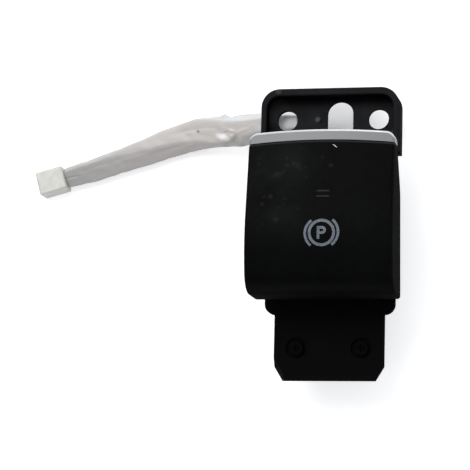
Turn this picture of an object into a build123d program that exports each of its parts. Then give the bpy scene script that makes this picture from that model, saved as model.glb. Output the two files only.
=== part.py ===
"""Pull-up switch for an electric parking brake, as it sits in a centre console.

+X runs across the paddle, +Y from the driver's palm towards the bright lip, +Z up.
The origin is on the surface that the switch stands on, under the middle of its length and width.
All lengths are millimetres and all angles degrees.
"""

import math
import os

from build123d import *

# Heights that the rest stands on
housing_height = 22.0
plate_thickness = 2.5
hood_rise = 24.9
hinge_rise = 8.5

# Hood: the paddle's outer form, made of a black cover and a bright front trim
hood_width = 55.3
hood_front_taper = 0.4
hood_rear = -25.3
hood_front_middle = 35.5
hood_bow = 1.1
hood_front_corner = 3.4
knee_y = -6.0
knee_rise = 5.5
roll_drop = 4.0
knee_radius = 60.0
roll_radius = 9.0
crown_radius = 230.0
hood_wall = 2.0
hood_edge_round = 1.1
lip_height = 5.6
skirt_rear_rise = 5.5
skirt_bend_y = 14.0
skirt_bend_rise = 8.0
skirt_bend_radius = 14.0
trim_depth = 4.1
trim_gap = 0.35
trim_wall = 3.0
trim_tab_x = 15.0
trim_tab_width = 7.0
trim_tab_length = 5.0
trim_tab_gap = 0.05
groove_round = 0.35

# Collar that stands up inside the hood and carries the hinge pin
collar_side_gap = 1.35
collar_rear_gap = 1.1
collar_wall = 2.0
collar_over_hinge = 3.0
collar_corner_radius = 2.0
grip_setback = 9.4
collar_grip_gap = 1.5

# Mounting frame: a tray with two screw holes and a slot, a middle plate and a tongue
tray_width = 52.6
tray_end = 55.0
tray_side_clearance = 5.6
tray_side_wall = 2.2
tray_end_wall = 2.8
tray_wall_height = 7.5
tray_corner_radius = 7.0
tray_cove_radius = 2.4
rim_round = 0.7
mount_hole_radius = 3.9
mount_hole_inset = 8.8
mount_hole_setback = 10.8
slot_width = 10.0
slot_x = 2.8
slot_setback = 3.7
slot_length = 17.0
pip_radius = 0.8
pip_height = 0.5
pip_slot_gap = 2.0
pip_hole_gap = 1.4
middle_ledge = 0.4
middle_rear_ledge = 4.9
middle_corner_radius = 4.0
hook_spacing = 14.8
hook_x = 2.3
hook_width = 2.2
hook_depth = 1.6
hook_height = 1.3
hook_gap = 0.2
tongue_inset = 3.5
tongue_end = -55.0
tongue_chamfer_across = 3.2
tongue_chamfer_along = 5.3
tongue_bevel = 1.7
recess_radius = 4.0
recess_depth = 1.1
recess_inset = 8.5
recess_setback = 12.1

# Hinge
hinge_y = -8.0
pin_radius = 1.5
pin_clearance = 0.04
bore_clearance = 0.03
pull_angle = 6.0
push_angle = 4.0

# Carrier: the frame under the cover that turns on the pin
carrier_under_lip = 3.0
carrier_thickness = 2.0
carrier_side_gap = 0.3
carrier_rear_gap = 0.7
carrier_corner_radius = 3.0
ear_collar_gap = 2.5
ear_thickness = 3.2
ear_radius = 3.4
foot_width = 4.0
foot_tip_radius = 1.5
foot_rise = 6.5
boss_radius = 2.6
boss_height = 2.0
boss_ear_gap = 0.5
boss_setback = 8.5
boss_hinge_offset = 1.5

# Grip panel that closes the front of the hood behind the fingers
grip_gap = 0.3
grip_thickness = 1.4
grip_overlap = 2.0
grip_floor_step = 0.1
grip_bend_radius = 3.2

# Symbol and indicator in the cover
symbol_x = 1.7
symbol_y = -4.0
symbol_depth = 0.9
symbol_proud = 0.12
ring_outer_radius = 5.05
ring_inner_radius = 4.0
arc_outer_radius = 6.3
arc_inner_radius = 5.35
arc_shift_x = 0.3
arc_shift_y = 0.2
arc_half_angle = 50.0
letter_height = 4.7
letter_width = 3.4
letter_bowl_height = 2.9
letter_stroke = 1.0
symbol_foot_step = 0.2
indicator_y = 10.7
indicator_width = 6.6
indicator_front_width = 5.0
indicator_depth_y = 2.6
indicator_round = 0.7
indicator_proud = 0.1
lens_clearance = 0.05

# Light guide under the symbol and the indicator
guide_half_width = 2.6
guide_leg_length = 5.0
guide_pin_gap = 1.5
guide_foot_rise = 5.4
guide_gap = 0.2
guide_top_gap = 0.3
guide_flange_thickness = 1.6
guide_flange_edge = 2.3
guide_swing_rear = 3.6
guide_swing_front = 5.4
guide_swing_side = 1.6

# Switch housing under the frame, with its bottom cover
housing_slot_gap = 4.3
housing_rear = -50.0
housing_wall = 1.8
housing_switch_gap = 0.5
housing_deck = 2.0
housing_seat_gap = 0.1
housing_corner_radius = 3.0
cover_thickness = 2.0
cover_panel_height = 0.6
cover_panel_inset = 1.5
cover_lip_height = 2.0
cover_lip_wall = 1.4
cover_lip_gap = 0.1
bay_slot_gap = 3.2
bay_width = 7.6
bay_setback = 3.2
bay_wall = 1.4
bay_under_lead = 5.4
post_radius = 3.0
post_board_gap = 5.3

# Plungers, springs and microswitches
arm = 8.0
stem_radius = 1.5
stem_clearance = 0.08
head_radius = 2.9
head_thickness = 1.5
plunger_gap = 0.1
plunger_foot_rise = 6.3
guide_tube_radius = 2.9
guide_tube_sink = 0.3
guide_tube_drop = 2.5
spring_wire = 0.45
spring_radius = 2.15
spring_turns = 4.0
spring_seat_gap = 0.05
switch_size = 6.2
switch_height = 3.6
switch_button_radius = 1.7
switch_button_gap = 1.0
switch_edge_chamfer = 0.3

# Circuit board
board_bottom = 6.0
board_thickness = 1.6
board_side_gap = 0.7
board_front_gap = 1.2
board_rear_gap = 2.2
board_corner_radius = 1.5
standoff_radius = 2.2
standoff_side_inset = 3.2
standoff_header_gap = 0.6
standoff_rear_inset = 4.0
led_length = 3.4
led_width = 2.8
led_height = 1.7
chip_size = 8.0
chip_height = 1.3
chip_y = -30.0
small_part_length = 2.0
small_part_width = 1.25
small_part_height = 0.7
small_part_pitch = 4.0
header_inset = 5.0
header_side_gap = 1.0
header_width = 5.5
header_height = 2.6
header_socket_depth = 1.4

# Fasteners
screw_radius = 1.4
screw_hole_radius = 1.7
screw_bore_gap = 0.02
screw_head_radius = 2.9
screw_head_height = 1.7
screw_head_round = 0.5
screw_length = 7.5
screw_cross_width = 0.7
screw_cross_span = 2.6
screw_cross_depth = 0.9
deck_screw_wall_gap = 2.5
deck_screw_setback = 7.6
small_screw_radius = 1.0
small_screw_head_radius = 2.0
small_screw_head_height = 1.2
small_screw_length = 5.4

# Rubber stops
stop_side_gap = 0.3
stop_front_reach = 16.0
stop_rear_reach = 9.2
stop_post_radius = 3.0
stop_pad_radius = 2.5
stop_pad_height = 2.8
stop_gap = 0.4

# Lead: a white sleeve round its wires, its grommet and the plug on its far end
lead_diameter = 8.4
lead_hole_offset = 0.7
lead_under_frame = 6.0
grommet_flange = 1.2
grommet_flange_radius = 5.1
grommet_neck_radius = 4.2
grommet_clearance = 0.03
wire_radius = 1.9
wire_clearance = 0.05
lead_points = [
    (-30.0, 44.9, 16.0),
    (-45.0, 44.2, 8.2),
    (-60.0, 42.6, 4.3),
    (-74.0, 38.6, 4.3),
    (-88.0, 33.6, 4.3),
    (-99.2, 30.0, 4.3),
]
lead_end = (-110.0, 27.0, 4.3)
plug_length = 11.0
plug_width = 9.4
plug_round = 0.8
plug_cavity = 1.7
plug_cavity_depth = 5.0
plug_pitch = 2.9
plug_row_pitch = 3.4
contact_size = 1.1
contact_setback = 0.5

# Heights that follow
plate_top = housing_height + plate_thickness
rim_top = plate_top + tray_wall_height
hinge_z = plate_top + hinge_rise
collar_top = hinge_z + collar_over_hinge
lip_z = plate_top + hood_rise
knee_z = lip_z + knee_rise
roll_z = knee_z - roll_drop
skirt_front_z = lip_z - lip_height
skirt_rear_z = plate_top + skirt_rear_rise
skirt_bend_z = plate_top + skirt_bend_rise
carrier_top = lip_z - carrier_under_lip
carrier_bottom = carrier_top - carrier_thickness
boss_top = carrier_top + boss_height
foot_tip_z = plate_top + foot_rise
grip_floor_z = skirt_front_z + grip_floor_step
grip_bottom_z = collar_top - grip_overlap
board_top = board_bottom + board_thickness
plunger_top = foot_tip_z - plunger_gap
plunger_foot_z = board_top + plunger_foot_rise
head_bottom = plunger_top - head_thickness
guide_tube_top = plate_top - guide_tube_sink
guide_foot_z = board_top + guide_foot_rise
switch_button_top = plunger_foot_z - switch_button_gap
housing_top = housing_height - housing_seat_gap
deck_bottom = housing_top - housing_deck
post_length = deck_bottom - board_top - post_board_gap
lead_exit_z = housing_height - lead_under_frame
bay_bottom = lead_exit_z - bay_under_lead

# Lengths along the switch that follow
hood_front_side = hood_front_middle - hood_bow
carrier_front = hood_front_middle - grip_setback
collar_front = carrier_front - collar_grip_gap
collar_rear = hood_rear + hood_wall + collar_rear_gap
carrier_rear = collar_rear + collar_wall + carrier_rear_gap
tray_side_end = collar_front + tray_side_clearance
middle_end = hood_rear - middle_rear_ledge
mount_hole_y = tray_end - mount_hole_setback
slot_end = tray_end - slot_setback
recess_y = tongue_end + recess_setback
hook_y = middle_end + hook_gap + hook_depth / 2
housing_front = slot_end - slot_length - housing_slot_gap
housing_length = housing_front - housing_rear
housing_middle = (housing_front + housing_rear) / 2
board_front = housing_front - housing_wall - board_front_gap
board_rear = housing_rear + housing_wall + board_rear_gap
header_y = board_front - header_inset
bay_front = tray_end - bay_setback
lead_exit_y = mount_hole_y + lead_hole_offset
guide_leg_rear_y = hinge_y + pin_radius + guide_pin_gap + guide_leg_length / 2
guide_leg_front_y = indicator_y
guide_opening_rear = guide_leg_rear_y - guide_leg_length / 2 - guide_gap
guide_opening_front = guide_leg_front_y + guide_leg_length / 2 + guide_gap
guide_flange_rear_y = guide_opening_rear - guide_flange_edge
guide_flange_front_y = guide_opening_front + guide_flange_edge
deck_slot_rear = guide_leg_rear_y - guide_leg_length / 2 - guide_swing_rear
deck_slot_front = guide_leg_front_y + guide_leg_length / 2 + guide_swing_front

# Widths that follow
hood_width_front = hood_width - 2 * hood_front_taper
collar_width = hood_width - 2 * (hood_wall + collar_side_gap)
collar_inside = collar_width / 2 - collar_wall
middle_width = collar_width + 2 * middle_ledge
tongue_width = collar_width - 2 * tongue_inset
mount_hole_spacing = tray_width - 2 * mount_hole_inset
recess_spacing = tongue_width - 2 * recess_inset
carrier_width = 2 * (collar_inside - carrier_side_gap)
ear_inner_x = collar_inside - ear_collar_gap - ear_thickness
boss_x = ear_inner_x - boss_ear_gap - boss_radius
guide_flange_half_width = guide_half_width + guide_gap + guide_flange_edge
deck_slot_half_width = guide_half_width + guide_swing_side
stop_x = collar_inside - stop_side_gap - stop_post_radius
plunger_inner_limit = deck_slot_half_width + guide_tube_radius
plunger_outer_limit = stop_x - stop_post_radius - head_radius
plunger_x = (plunger_inner_limit + plunger_outer_limit) / 2
housing_half_inside = plunger_x + switch_size / 2 + housing_switch_gap
housing_width = 2 * (housing_half_inside + housing_wall)
board_width = housing_width - 2 * (housing_wall + board_side_gap)
deck_screw_x = housing_half_inside - deck_screw_wall_gap
deck_screw_y = collar_front - deck_screw_setback
stop_front_y = hinge_y + stop_front_reach
stop_rear_y = hinge_y - stop_rear_reach
bay_inner_x = slot_x - slot_width / 2 - bay_slot_gap
bay_outer_x = bay_inner_x - bay_width
bay_middle = (bay_inner_x + bay_outer_x) / 2
header_length = bay_width - 2 * header_side_gap

# Places of the pieces that repeat
plunger_places = {
    "front_left": (-plunger_x, hinge_y + arm),
    "front_right": (plunger_x, hinge_y + arm),
    "rear_left": (-plunger_x, hinge_y - arm),
    "rear_right": (plunger_x, hinge_y - arm),
}
stop_places = [
    (-stop_x, stop_front_y),
    (stop_x, stop_front_y),
    (-stop_x, stop_rear_y),
    (stop_x, stop_rear_y),
]
tongue_screw_places = [(-recess_spacing / 2, recess_y), (recess_spacing / 2, recess_y)]
deck_screw_places = [(-deck_screw_x, deck_screw_y), (deck_screw_x, deck_screw_y)]
boss_places = [
    (-boss_x, carrier_front - boss_setback),
    (boss_x, carrier_front - boss_setback),
    (-boss_x, hinge_y - boss_hinge_offset),
    (boss_x, hinge_y - boss_hinge_offset),
]
guide_legs = [(0, guide_leg_rear_y), (0, guide_leg_front_y)]
standoff_x = board_width / 2 - standoff_side_inset
standoff_front_y = header_y - header_width / 2 - standoff_header_gap - small_screw_head_radius
standoff_places = [
    (-standoff_x, standoff_front_y),
    (standoff_x, standoff_front_y),
    (-standoff_x, board_rear + standoff_rear_inset),
    (standoff_x, board_rear + standoff_rear_inset),
]


def stop_top():
    """Height of the rubber stops: just under the carrier at whichever limit brings it lower."""
    heights = []
    for reach, angle in (
        (stop_front_y + stop_pad_radius - hinge_y, -push_angle),
        (stop_rear_y - stop_pad_radius - hinge_y, pull_angle),
    ):
        turn = math.radians(angle)
        height = reach * math.sin(turn) + (carrier_bottom - hinge_z) * math.cos(turn)
        heights.append(hinge_z + height)
    return min(heights) - stop_gap


def hood_plan(inset):
    """The hood's outline from above, moved in by inset, with its bowed lip and open to the rear."""
    half_front = hood_width_front / 2 - inset
    half_rear = hood_width / 2 - inset
    side = hood_front_side - inset
    beyond = hood_rear - roll_radius
    with BuildSketch() as plan:
        with BuildLine():
            front = ThreePointArc(
                (-half_front, side), (0, hood_front_middle - inset), (half_front, side)
            )
            Polyline(front @ 1, (half_rear, beyond), (-half_rear, beyond), front @ 0)
        make_face()
        fillet(plan.vertices().group_by(Axis.Y)[-1], max(hood_front_corner - inset, 0.4))
    return plan.sketch


def hood_solid(inset):
    """The hood's outer form, or the hollow inside it when inset is the wall."""
    far_front = hood_front_middle + roll_radius
    slope = (knee_z - lip_z) / (hood_front_middle - knee_y)
    far_z = lip_z - slope * (far_front - hood_front_middle)
    rear = hood_rear + inset
    reach = math.degrees(math.asin((hood_width / 2 + roll_radius) / crown_radius))
    with BuildPart() as hood:
        with BuildSketch(Plane.YZ):
            with BuildLine():
                top = FilletPolyline(
                    (far_front, far_z - inset),
                    (knee_y, knee_z - inset),
                    (rear, roll_z - inset),
                    (rear, 0),
                    radius=[knee_radius - inset, roll_radius - inset],
                )
                Polyline(top @ 1, (far_front, 0), top @ 0)
            make_face()
        revolve(
            axis=Axis((0, 0, knee_z - crown_radius), (0, 1, 0)), revolution_arc=reach
        )
        mirror(about=Plane.YZ)
        with BuildSketch():
            add(hood_plan(inset))
        extrude(amount=2 * knee_z, mode=Mode.INTERSECT)
    return hood.part


# Mounting frame
with BuildPart() as mounting_frame:
    with BuildSketch(Plane.XY.offset(housing_height)):
        with Locations((0, (tray_end + tray_side_end) / 2)):
            tray_plate = Rectangle(tray_width, tray_end - tray_side_end)
        fillet(tray_plate.vertices().group_by(Axis.Y)[-1], tray_corner_radius)
    extrude(amount=rim_top - housing_height)
    with BuildSketch(Plane.XY.offset(plate_top)):
        tray_inner_end = tray_end - tray_end_wall
        with Locations((0, (tray_inner_end + tray_side_end) / 2)):
            tray_inside = Rectangle(
                tray_width - 2 * tray_side_wall, tray_inner_end - tray_side_end
            )
        fillet(
            tray_inside.vertices().group_by(Axis.Y)[-1],
            tray_corner_radius - tray_side_wall,
        )
    extrude(amount=tray_wall_height, mode=Mode.SUBTRACT)
    cove = (
        mounting_frame.edges()
        .filter_by_position(Axis.Z, plate_top - 0.01, plate_top + 0.01)
        .filter_by_position(Axis.Y, tray_side_end + 0.01, tray_end)
    )
    fillet(cove, tray_cove_radius)
    rim = mounting_frame.edges().filter_by_position(Axis.Z, rim_top - 0.01, rim_top + 0.01)
    fillet(rim.filter_by_position(Axis.Y, tray_side_end + 0.01, tray_end), rim_round)
    with BuildSketch(Plane.XY.offset(housing_height)):
        with Locations((0, (middle_end + tray_side_end) / 2)):
            middle_plate = Rectangle(middle_width, tray_side_end - middle_end)
        fillet(middle_plate.vertices().group_by(Axis.Y)[0], middle_corner_radius)
    extrude(amount=plate_thickness)
    with BuildSketch(Plane.XY.offset(housing_height)):
        half = tongue_width / 2
        with BuildLine():
            Polyline(
                (-half, middle_end + middle_corner_radius),
                (-half, tongue_end + tongue_chamfer_along),
                (-half + tongue_chamfer_across, tongue_end),
                (half - tongue_chamfer_across, tongue_end),
                (half, tongue_end + tongue_chamfer_along),
                (half, middle_end + middle_corner_radius),
                close=True,
            )
        make_face()
    extrude(amount=plate_thickness)
    tongue_edge = (
        mounting_frame.edges()
        .filter_by_position(Axis.Z, plate_top - 0.01, plate_top + 0.01)
        .filter_by_position(
            Axis.Y, tongue_end - 0.01, tongue_end + tongue_chamfer_along + 0.01
        )
    )
    chamfer(tongue_edge, tongue_bevel)
    with BuildSketch(Plane.XY.offset(plate_top)):
        with Locations((0, (collar_front + collar_rear) / 2)):
            RectangleRounded(
                collar_width, collar_front - collar_rear, collar_corner_radius
            )
            RectangleRounded(
                collar_width - 2 * collar_wall,
                collar_front - collar_rear - 2 * collar_wall,
                collar_corner_radius / 2,
                mode=Mode.SUBTRACT,
            )
    extrude(amount=collar_top - plate_top)
    with BuildSketch(Plane.XY.offset(plate_top)):
        with Locations(*stop_places):
            Circle(stop_post_radius)
    extrude(amount=stop_top() - stop_pad_height - plate_top)
    with BuildSketch(Plane.XY.offset(plate_top)):
        with Locations(
            (slot_x - slot_width / 2 - pip_slot_gap - pip_radius, mount_hole_y),
            (mount_hole_spacing / 2 + mount_hole_radius + pip_hole_gap, mount_hole_y),
        ):
            Circle(pip_radius)
    extrude(amount=pip_height)
    with BuildSketch(Plane.XY.offset(plate_top)):
        with Locations((hook_x, hook_y)):
            with GridLocations(hook_spacing, 0, 3, 1):
                Rectangle(hook_width, hook_depth)
    extrude(amount=hook_height)
    with BuildSketch(Plane.XY.offset(housing_height)):
        with Locations((0, mount_hole_y)):
            with GridLocations(mount_hole_spacing, 0, 2, 1):
                Circle(mount_hole_radius)
        with Locations((slot_x, slot_end - slot_length / 2)):
            SlotOverall(slot_length, slot_width, rotation=90)
        with Locations(*tongue_screw_places, *deck_screw_places):
            Circle(screw_hole_radius)
    extrude(amount=plate_thickness + pip_height, mode=Mode.SUBTRACT)
    with BuildSketch(Plane.XY.offset(plate_top)):
        with Locations(*tongue_screw_places):
            Circle(recess_radius)
    extrude(amount=-recess_depth, mode=Mode.SUBTRACT)
    with BuildSketch(Plane.XY.offset(housing_height)):
        for x, y in plunger_places.values():
            with Locations((x, y)):
                Circle(guide_tube_radius + stem_clearance + housing_seat_gap)
        with Locations((0, (deck_slot_front + deck_slot_rear) / 2)):
            Rectangle(2 * deck_slot_half_width, deck_slot_front - deck_slot_rear)
    extrude(amount=plate_thickness, mode=Mode.SUBTRACT)
    with BuildSketch(Plane.YZ.offset(-collar_width / 2)):
        with Locations((hinge_y, hinge_z)):
            Circle(pin_radius + bore_clearance)
    extrude(amount=collar_width, mode=Mode.SUBTRACT)
mounting_frame.part.label = "mounting_frame"

# Hinge pin
with BuildPart() as hinge_pin:
    with BuildSketch(Plane.YZ.offset(-collar_width / 2)):
        with Locations((hinge_y, hinge_z)):
            Circle(pin_radius)
    extrude(amount=collar_width)
    chamfer(hinge_pin.edges().filter_by(GeomType.CIRCLE), 0.3)
hinge_pin.part.label = "hinge_pin"

# Rubber stops on their posts
with BuildPart() as stop_pads:
    with BuildSketch(Plane.XY.offset(stop_top() - stop_pad_height)):
        with Locations(*stop_places):
            Circle(stop_pad_radius)
    extrude(amount=stop_pad_height)
    fillet(stop_pads.edges().group_by(Axis.Z)[-1], 0.5)
stop_pads.part.label = "stop_pads"


# Shapes that split and limit the hood
def front_region(depth):
    """Everything in front of the lip's outline moved back by depth."""
    with BuildPart() as region:
        with BuildSketch():
            with BuildLine():
                half = hood_width_front / 2
                side = hood_front_side - depth
                middle = hood_front_middle - depth
                arc = ThreePointArc((-half, side), (0, middle), (half, side))
                far = hood_front_middle + roll_radius
                wide = hood_width
                Polyline(
                    arc @ 1, (wide, side), (wide, far), (-wide, far), (-wide, side), arc @ 0
                )
            make_face()
        extrude(amount=2 * knee_z)
    return region.part


def above_skirt():
    """Everything over the skirt's lower edge, which climbs to the lip."""
    with BuildPart() as region:
        with BuildSketch(Plane.YZ.offset(-hood_width)):
            with BuildLine():
                near = hood_rear - roll_radius
                far = hood_front_middle + roll_radius
                slope = (skirt_front_z - skirt_bend_z) / (hood_front_middle - skirt_bend_y)
                edge = FilletPolyline(
                    (near, skirt_rear_z),
                    (skirt_bend_y, skirt_bend_z),
                    (far, skirt_front_z + slope * roll_radius),
                    radius=skirt_bend_radius,
                )
                Polyline(edge @ 1, (far, 2 * knee_z), (near, 2 * knee_z), edge @ 0)
            make_face()
        extrude(amount=2 * hood_width)
    return region.part


def hood_edges(part):
    """The edges round the roof and up the rear corners, which are rounded."""
    chosen = []
    for edge in part.edges():
        middle = edge.center()
        upright = abs(edge.tangent_at(0.5).Z) > 0.95
        at_side = abs(middle.X) > hood_width_front / 2 - hood_front_corner
        at_front = middle.Y > hood_front_side - hood_front_corner
        at_rear = middle.Y < hood_rear + 0.01
        if middle.Z > skirt_rear_z and not upright and (at_side or at_front):
            chosen.append(edge)
        if upright and at_side and at_rear:
            chosen.append(edge)
    return chosen


hood_outer = hood_solid(0)
hood_rounded = hood_outer.fillet(hood_edge_round, hood_edges(hood_outer))
hood_inner = hood_solid(hood_wall)
trim_inner = hood_solid(trim_wall)
skirt_limit = above_skirt()


# Outlines of the symbol and the indicator
def symbol_ring():
    """The ring round the letter."""
    with BuildSketch() as ring:
        with Locations((symbol_x, symbol_y)):
            Circle(ring_outer_radius)
            Circle(ring_inner_radius, mode=Mode.SUBTRACT)
    return ring.sketch


def symbol_arc(side):
    """The arc beside the ring, on the left for side -1 and on the right for side 1."""
    spread = math.radians(arc_half_angle)
    with BuildSketch() as arc:
        with Locations((symbol_x + side * arc_shift_x, symbol_y + side * arc_shift_y)):
            Circle(arc_outer_radius)
            Circle(arc_inner_radius, mode=Mode.SUBTRACT)
        with BuildLine():
            reach = 2 * arc_outer_radius
            run = side * reach * math.cos(spread)
            rise = reach * math.sin(spread)
            Polyline(
                (symbol_x, symbol_y),
                (symbol_x + run, symbol_y + rise),
                (symbol_x + run, symbol_y - rise),
                close=True,
            )
        make_face(mode=Mode.INTERSECT)
    return arc.sketch


def bowl(inset):
    """The letter's round half, or the hole in it when inset is the stroke."""
    radius = letter_bowl_height / 2
    left = symbol_x - letter_width / 2
    top = symbol_y + letter_height / 2
    with BuildSketch() as half:
        with BuildLine():
            turn = left + letter_width - radius
            upper = top - inset
            lower = top - letter_bowl_height + inset
            middle = top - radius
            Polyline((turn, lower), (left + inset, lower), (left + inset, upper), (turn, upper))
            ThreePointArc((turn, upper), (turn + radius - inset, middle), (turn, lower))
        make_face()
    return half.sketch


def symbol_letter():
    """A bold P."""
    with BuildSketch() as letter:
        add(bowl(0))
        add(bowl(letter_stroke), mode=Mode.SUBTRACT)
        with Locations((symbol_x - letter_width / 2 + letter_stroke / 2, symbol_y)):
            Rectangle(letter_stroke, letter_height)
    return letter.sketch


def symbol_foot():
    """The letter's foot, which reaches through the cover to the light."""
    with BuildSketch() as foot:
        with Locations((symbol_x - letter_width / 2 + letter_stroke / 2, symbol_y)):
            Rectangle(letter_stroke - symbol_foot_step, letter_height - symbol_foot_step)
    return foot.sketch


def indicator_outline():
    """The small indicator in front of the symbol, narrower towards the lip."""
    with BuildSketch() as outline:
        with BuildLine():
            low = indicator_y - indicator_depth_y / 2
            high = indicator_y + indicator_depth_y / 2
            Polyline(
                (symbol_x - indicator_width / 2, low),
                (symbol_x + indicator_width / 2, low),
                (symbol_x + indicator_front_width / 2, high),
                (symbol_x - indicator_front_width / 2, high),
                close=True,
            )
        make_face()
        fillet(outline.vertices(), indicator_round)
    return outline.sketch


def between_skins(outlines, outer, inner, growth=0.0):
    """The outlines, grown sideways, as solids from the inner skin up to the outer one."""
    with BuildPart() as block:
        for outline in outlines:
            with BuildSketch():
                add(outline)
                if growth:
                    offset(amount=growth)
            extrude(amount=2 * knee_z)
        add(outer, mode=Mode.INTERSECT)
        add(inner, mode=Mode.SUBTRACT)
    return block.part


symbol_outlines = [symbol_ring(), symbol_arc(-1), symbol_arc(1), symbol_letter()]
symbol_floor = hood_solid(symbol_depth)
above_roof = hood_solid(-2 * symbol_proud)

# Parking brake symbol, inlaid in the cover
with BuildPart() as parking_symbol:
    add(between_skins(symbol_outlines, hood_solid(-symbol_proud), symbol_floor))
    add(between_skins([symbol_foot()], hood_outer, hood_inner))
parking_symbol.part.label = "parking_symbol"

# Indicator lens
with BuildPart() as indicator_lens:
    add(between_skins([indicator_outline()], hood_solid(-indicator_proud), hood_inner))
indicator_lens.part.label = "indicator_lens"

# Posts under the cover, where the carrier is screwed on
with BuildPart() as cover_posts:
    with BuildSketch(Plane.XY.offset(boss_top)):
        with Locations(*boss_places):
            Circle(boss_radius)
    extrude(amount=2 * knee_z)
    add(hood_solid(hood_wall / 2), mode=Mode.INTERSECT)

# Paddle cover
with BuildPart() as paddle_cover:
    add(hood_rounded)
    add(hood_inner, mode=Mode.SUBTRACT)
    add(skirt_limit, mode=Mode.INTERSECT)
    add(front_region(trim_depth + trim_gap), mode=Mode.SUBTRACT)
    groove_y = hood_front_middle - trim_depth - trim_gap
    groove_edge = paddle_cover.edges().sort_by(lambda edge: abs(edge.center().X))
    groove_edge = [
        edge
        for edge in groove_edge
        if abs(edge.center().Y - groove_y) < hood_front_middle - hood_front_side
        and edge.length > hood_width_front / 2
        and edge.center().Z > lip_z - hood_wall / 2
    ]
    fillet(groove_edge[-1], groove_round)
    add(cover_posts.part)
    add(
        between_skins(symbol_outlines, above_roof, symbol_floor, lens_clearance),
        mode=Mode.SUBTRACT,
    )
    add(
        between_skins(
            [symbol_foot(), indicator_outline()], above_roof, hood_inner, lens_clearance
        ),
        mode=Mode.SUBTRACT,
    )
    with BuildSketch(Plane.XY.offset(boss_top)):
        with Locations(*boss_places):
            Circle(small_screw_radius + screw_bore_gap)
    extrude(
        amount=carrier_bottom + small_screw_length + screw_bore_gap - boss_top,
        mode=Mode.SUBTRACT,
    )
paddle_cover.part.label = "paddle_cover"

# Front trim, with two tabs that reach under the cover
with BuildPart() as trim_tabs:
    with BuildSketch():
        with Locations((0, hood_front_side - trim_depth)):
            with GridLocations(2 * trim_tab_x, 0, 2, 1):
                Rectangle(trim_tab_width, 2 * trim_tab_length)
    extrude(amount=2 * knee_z)
    add(front_region(trim_depth + trim_tab_length), mode=Mode.INTERSECT)
    add(hood_solid(hood_wall + trim_tab_gap), mode=Mode.INTERSECT)
    add(skirt_limit, mode=Mode.INTERSECT)
    add(trim_inner, mode=Mode.SUBTRACT)
with BuildPart() as front_trim:
    add(hood_rounded)
    add(trim_inner, mode=Mode.SUBTRACT)
    add(skirt_limit, mode=Mode.INTERSECT)
    add(front_region(trim_depth), mode=Mode.INTERSECT)
    add(trim_tabs.part)
front_trim.part.label = "front_trim"

# Paddle carrier
with BuildPart() as paddle_carrier:
    with BuildSketch(Plane.XY.offset(carrier_bottom)) as carrier_plan:
        with Locations((0, (carrier_front + carrier_rear) / 2)):
            Rectangle(carrier_width, carrier_front - carrier_rear)
        fillet(carrier_plan.vertices(), carrier_corner_radius)
        with Locations((0, (guide_opening_front + guide_opening_rear) / 2)):
            Rectangle(
                2 * (guide_half_width + guide_gap),
                guide_opening_front - guide_opening_rear,
                mode=Mode.SUBTRACT,
            )
    extrude(amount=carrier_thickness)
    with BuildSketch(Plane.XY.offset(carrier_top)):
        with Locations(*boss_places):
            Circle(boss_radius)
    extrude(amount=boss_top - carrier_top)
    for side in (-1, 1):
        with BuildSketch(Plane.YZ.offset(side * (ear_inner_x + ear_thickness / 2))):
            with Locations((hinge_y, hinge_z)):
                Circle(ear_radius)
            with Locations((hinge_y, (hinge_z + carrier_bottom) / 2)):
                Rectangle(2 * ear_radius, carrier_bottom - hinge_z)
        extrude(amount=ear_thickness / 2, both=True)
        with BuildSketch(Plane.YZ.offset(side * plunger_x)):
            for reach in (-arm, arm):
                with Locations((hinge_y + reach, foot_tip_z + foot_tip_radius)):
                    Circle(foot_tip_radius)
                height = carrier_bottom - foot_tip_z - foot_tip_radius
                with Locations((hinge_y + reach, carrier_bottom - height / 2)):
                    Rectangle(2 * foot_tip_radius, height)
        extrude(amount=foot_width / 2, both=True)
    with BuildSketch(Plane.YZ.offset(-carrier_width / 2)):
        with Locations((hinge_y, hinge_z)):
            Circle(pin_radius + pin_clearance)
    extrude(amount=carrier_width, mode=Mode.SUBTRACT)
    with BuildSketch(Plane.XY.offset(carrier_bottom)):
        with Locations(*boss_places):
            Circle(small_screw_radius + screw_bore_gap)
    extrude(amount=boss_top - carrier_bottom, mode=Mode.SUBTRACT)
paddle_carrier.part.label = "paddle_carrier"

# Light guide: a flange on the carrier with two legs down and two light posts up
with BuildPart() as light_guide:
    with BuildSketch(Plane.XY.offset(carrier_top)):
        with Locations((0, (guide_flange_front_y + guide_flange_rear_y) / 2)):
            Rectangle(
                2 * guide_flange_half_width, guide_flange_front_y - guide_flange_rear_y
            )
    extrude(amount=guide_flange_thickness)
    with BuildSketch(Plane.XY.offset(guide_foot_z)):
        with Locations(*guide_legs):
            Rectangle(2 * guide_half_width, guide_leg_length)
    extrude(amount=carrier_top - guide_foot_z)
    add(
        between_skins(
            [symbol_foot(), indicator_outline()],
            hood_solid(hood_wall + guide_top_gap),
            Box(
                hood_width,
                2 * hood_width,
                2 * carrier_top,
                mode=Mode.PRIVATE,
            ),
        )
    )
light_guide.part.label = "light_guide"

# Grip panel
with BuildPart() as grip_panel:
    with BuildSketch(Plane.YZ.offset(-hood_width_front)):
        with BuildLine():
            middle_z = grip_floor_z + grip_thickness / 2
            FilletPolyline(
                (hood_front_middle + roll_radius, middle_z),
                (carrier_front + grip_thickness / 2, middle_z),
                (carrier_front + grip_thickness / 2, grip_bottom_z),
                radius=grip_bend_radius,
            )
        trace(line_width=grip_thickness)
    extrude(amount=2 * hood_width_front)
    with BuildSketch():
        add(hood_plan(trim_wall + grip_gap))
    extrude(amount=2 * knee_z, mode=Mode.INTERSECT)
grip_panel.part.label = "grip_panel"


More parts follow.
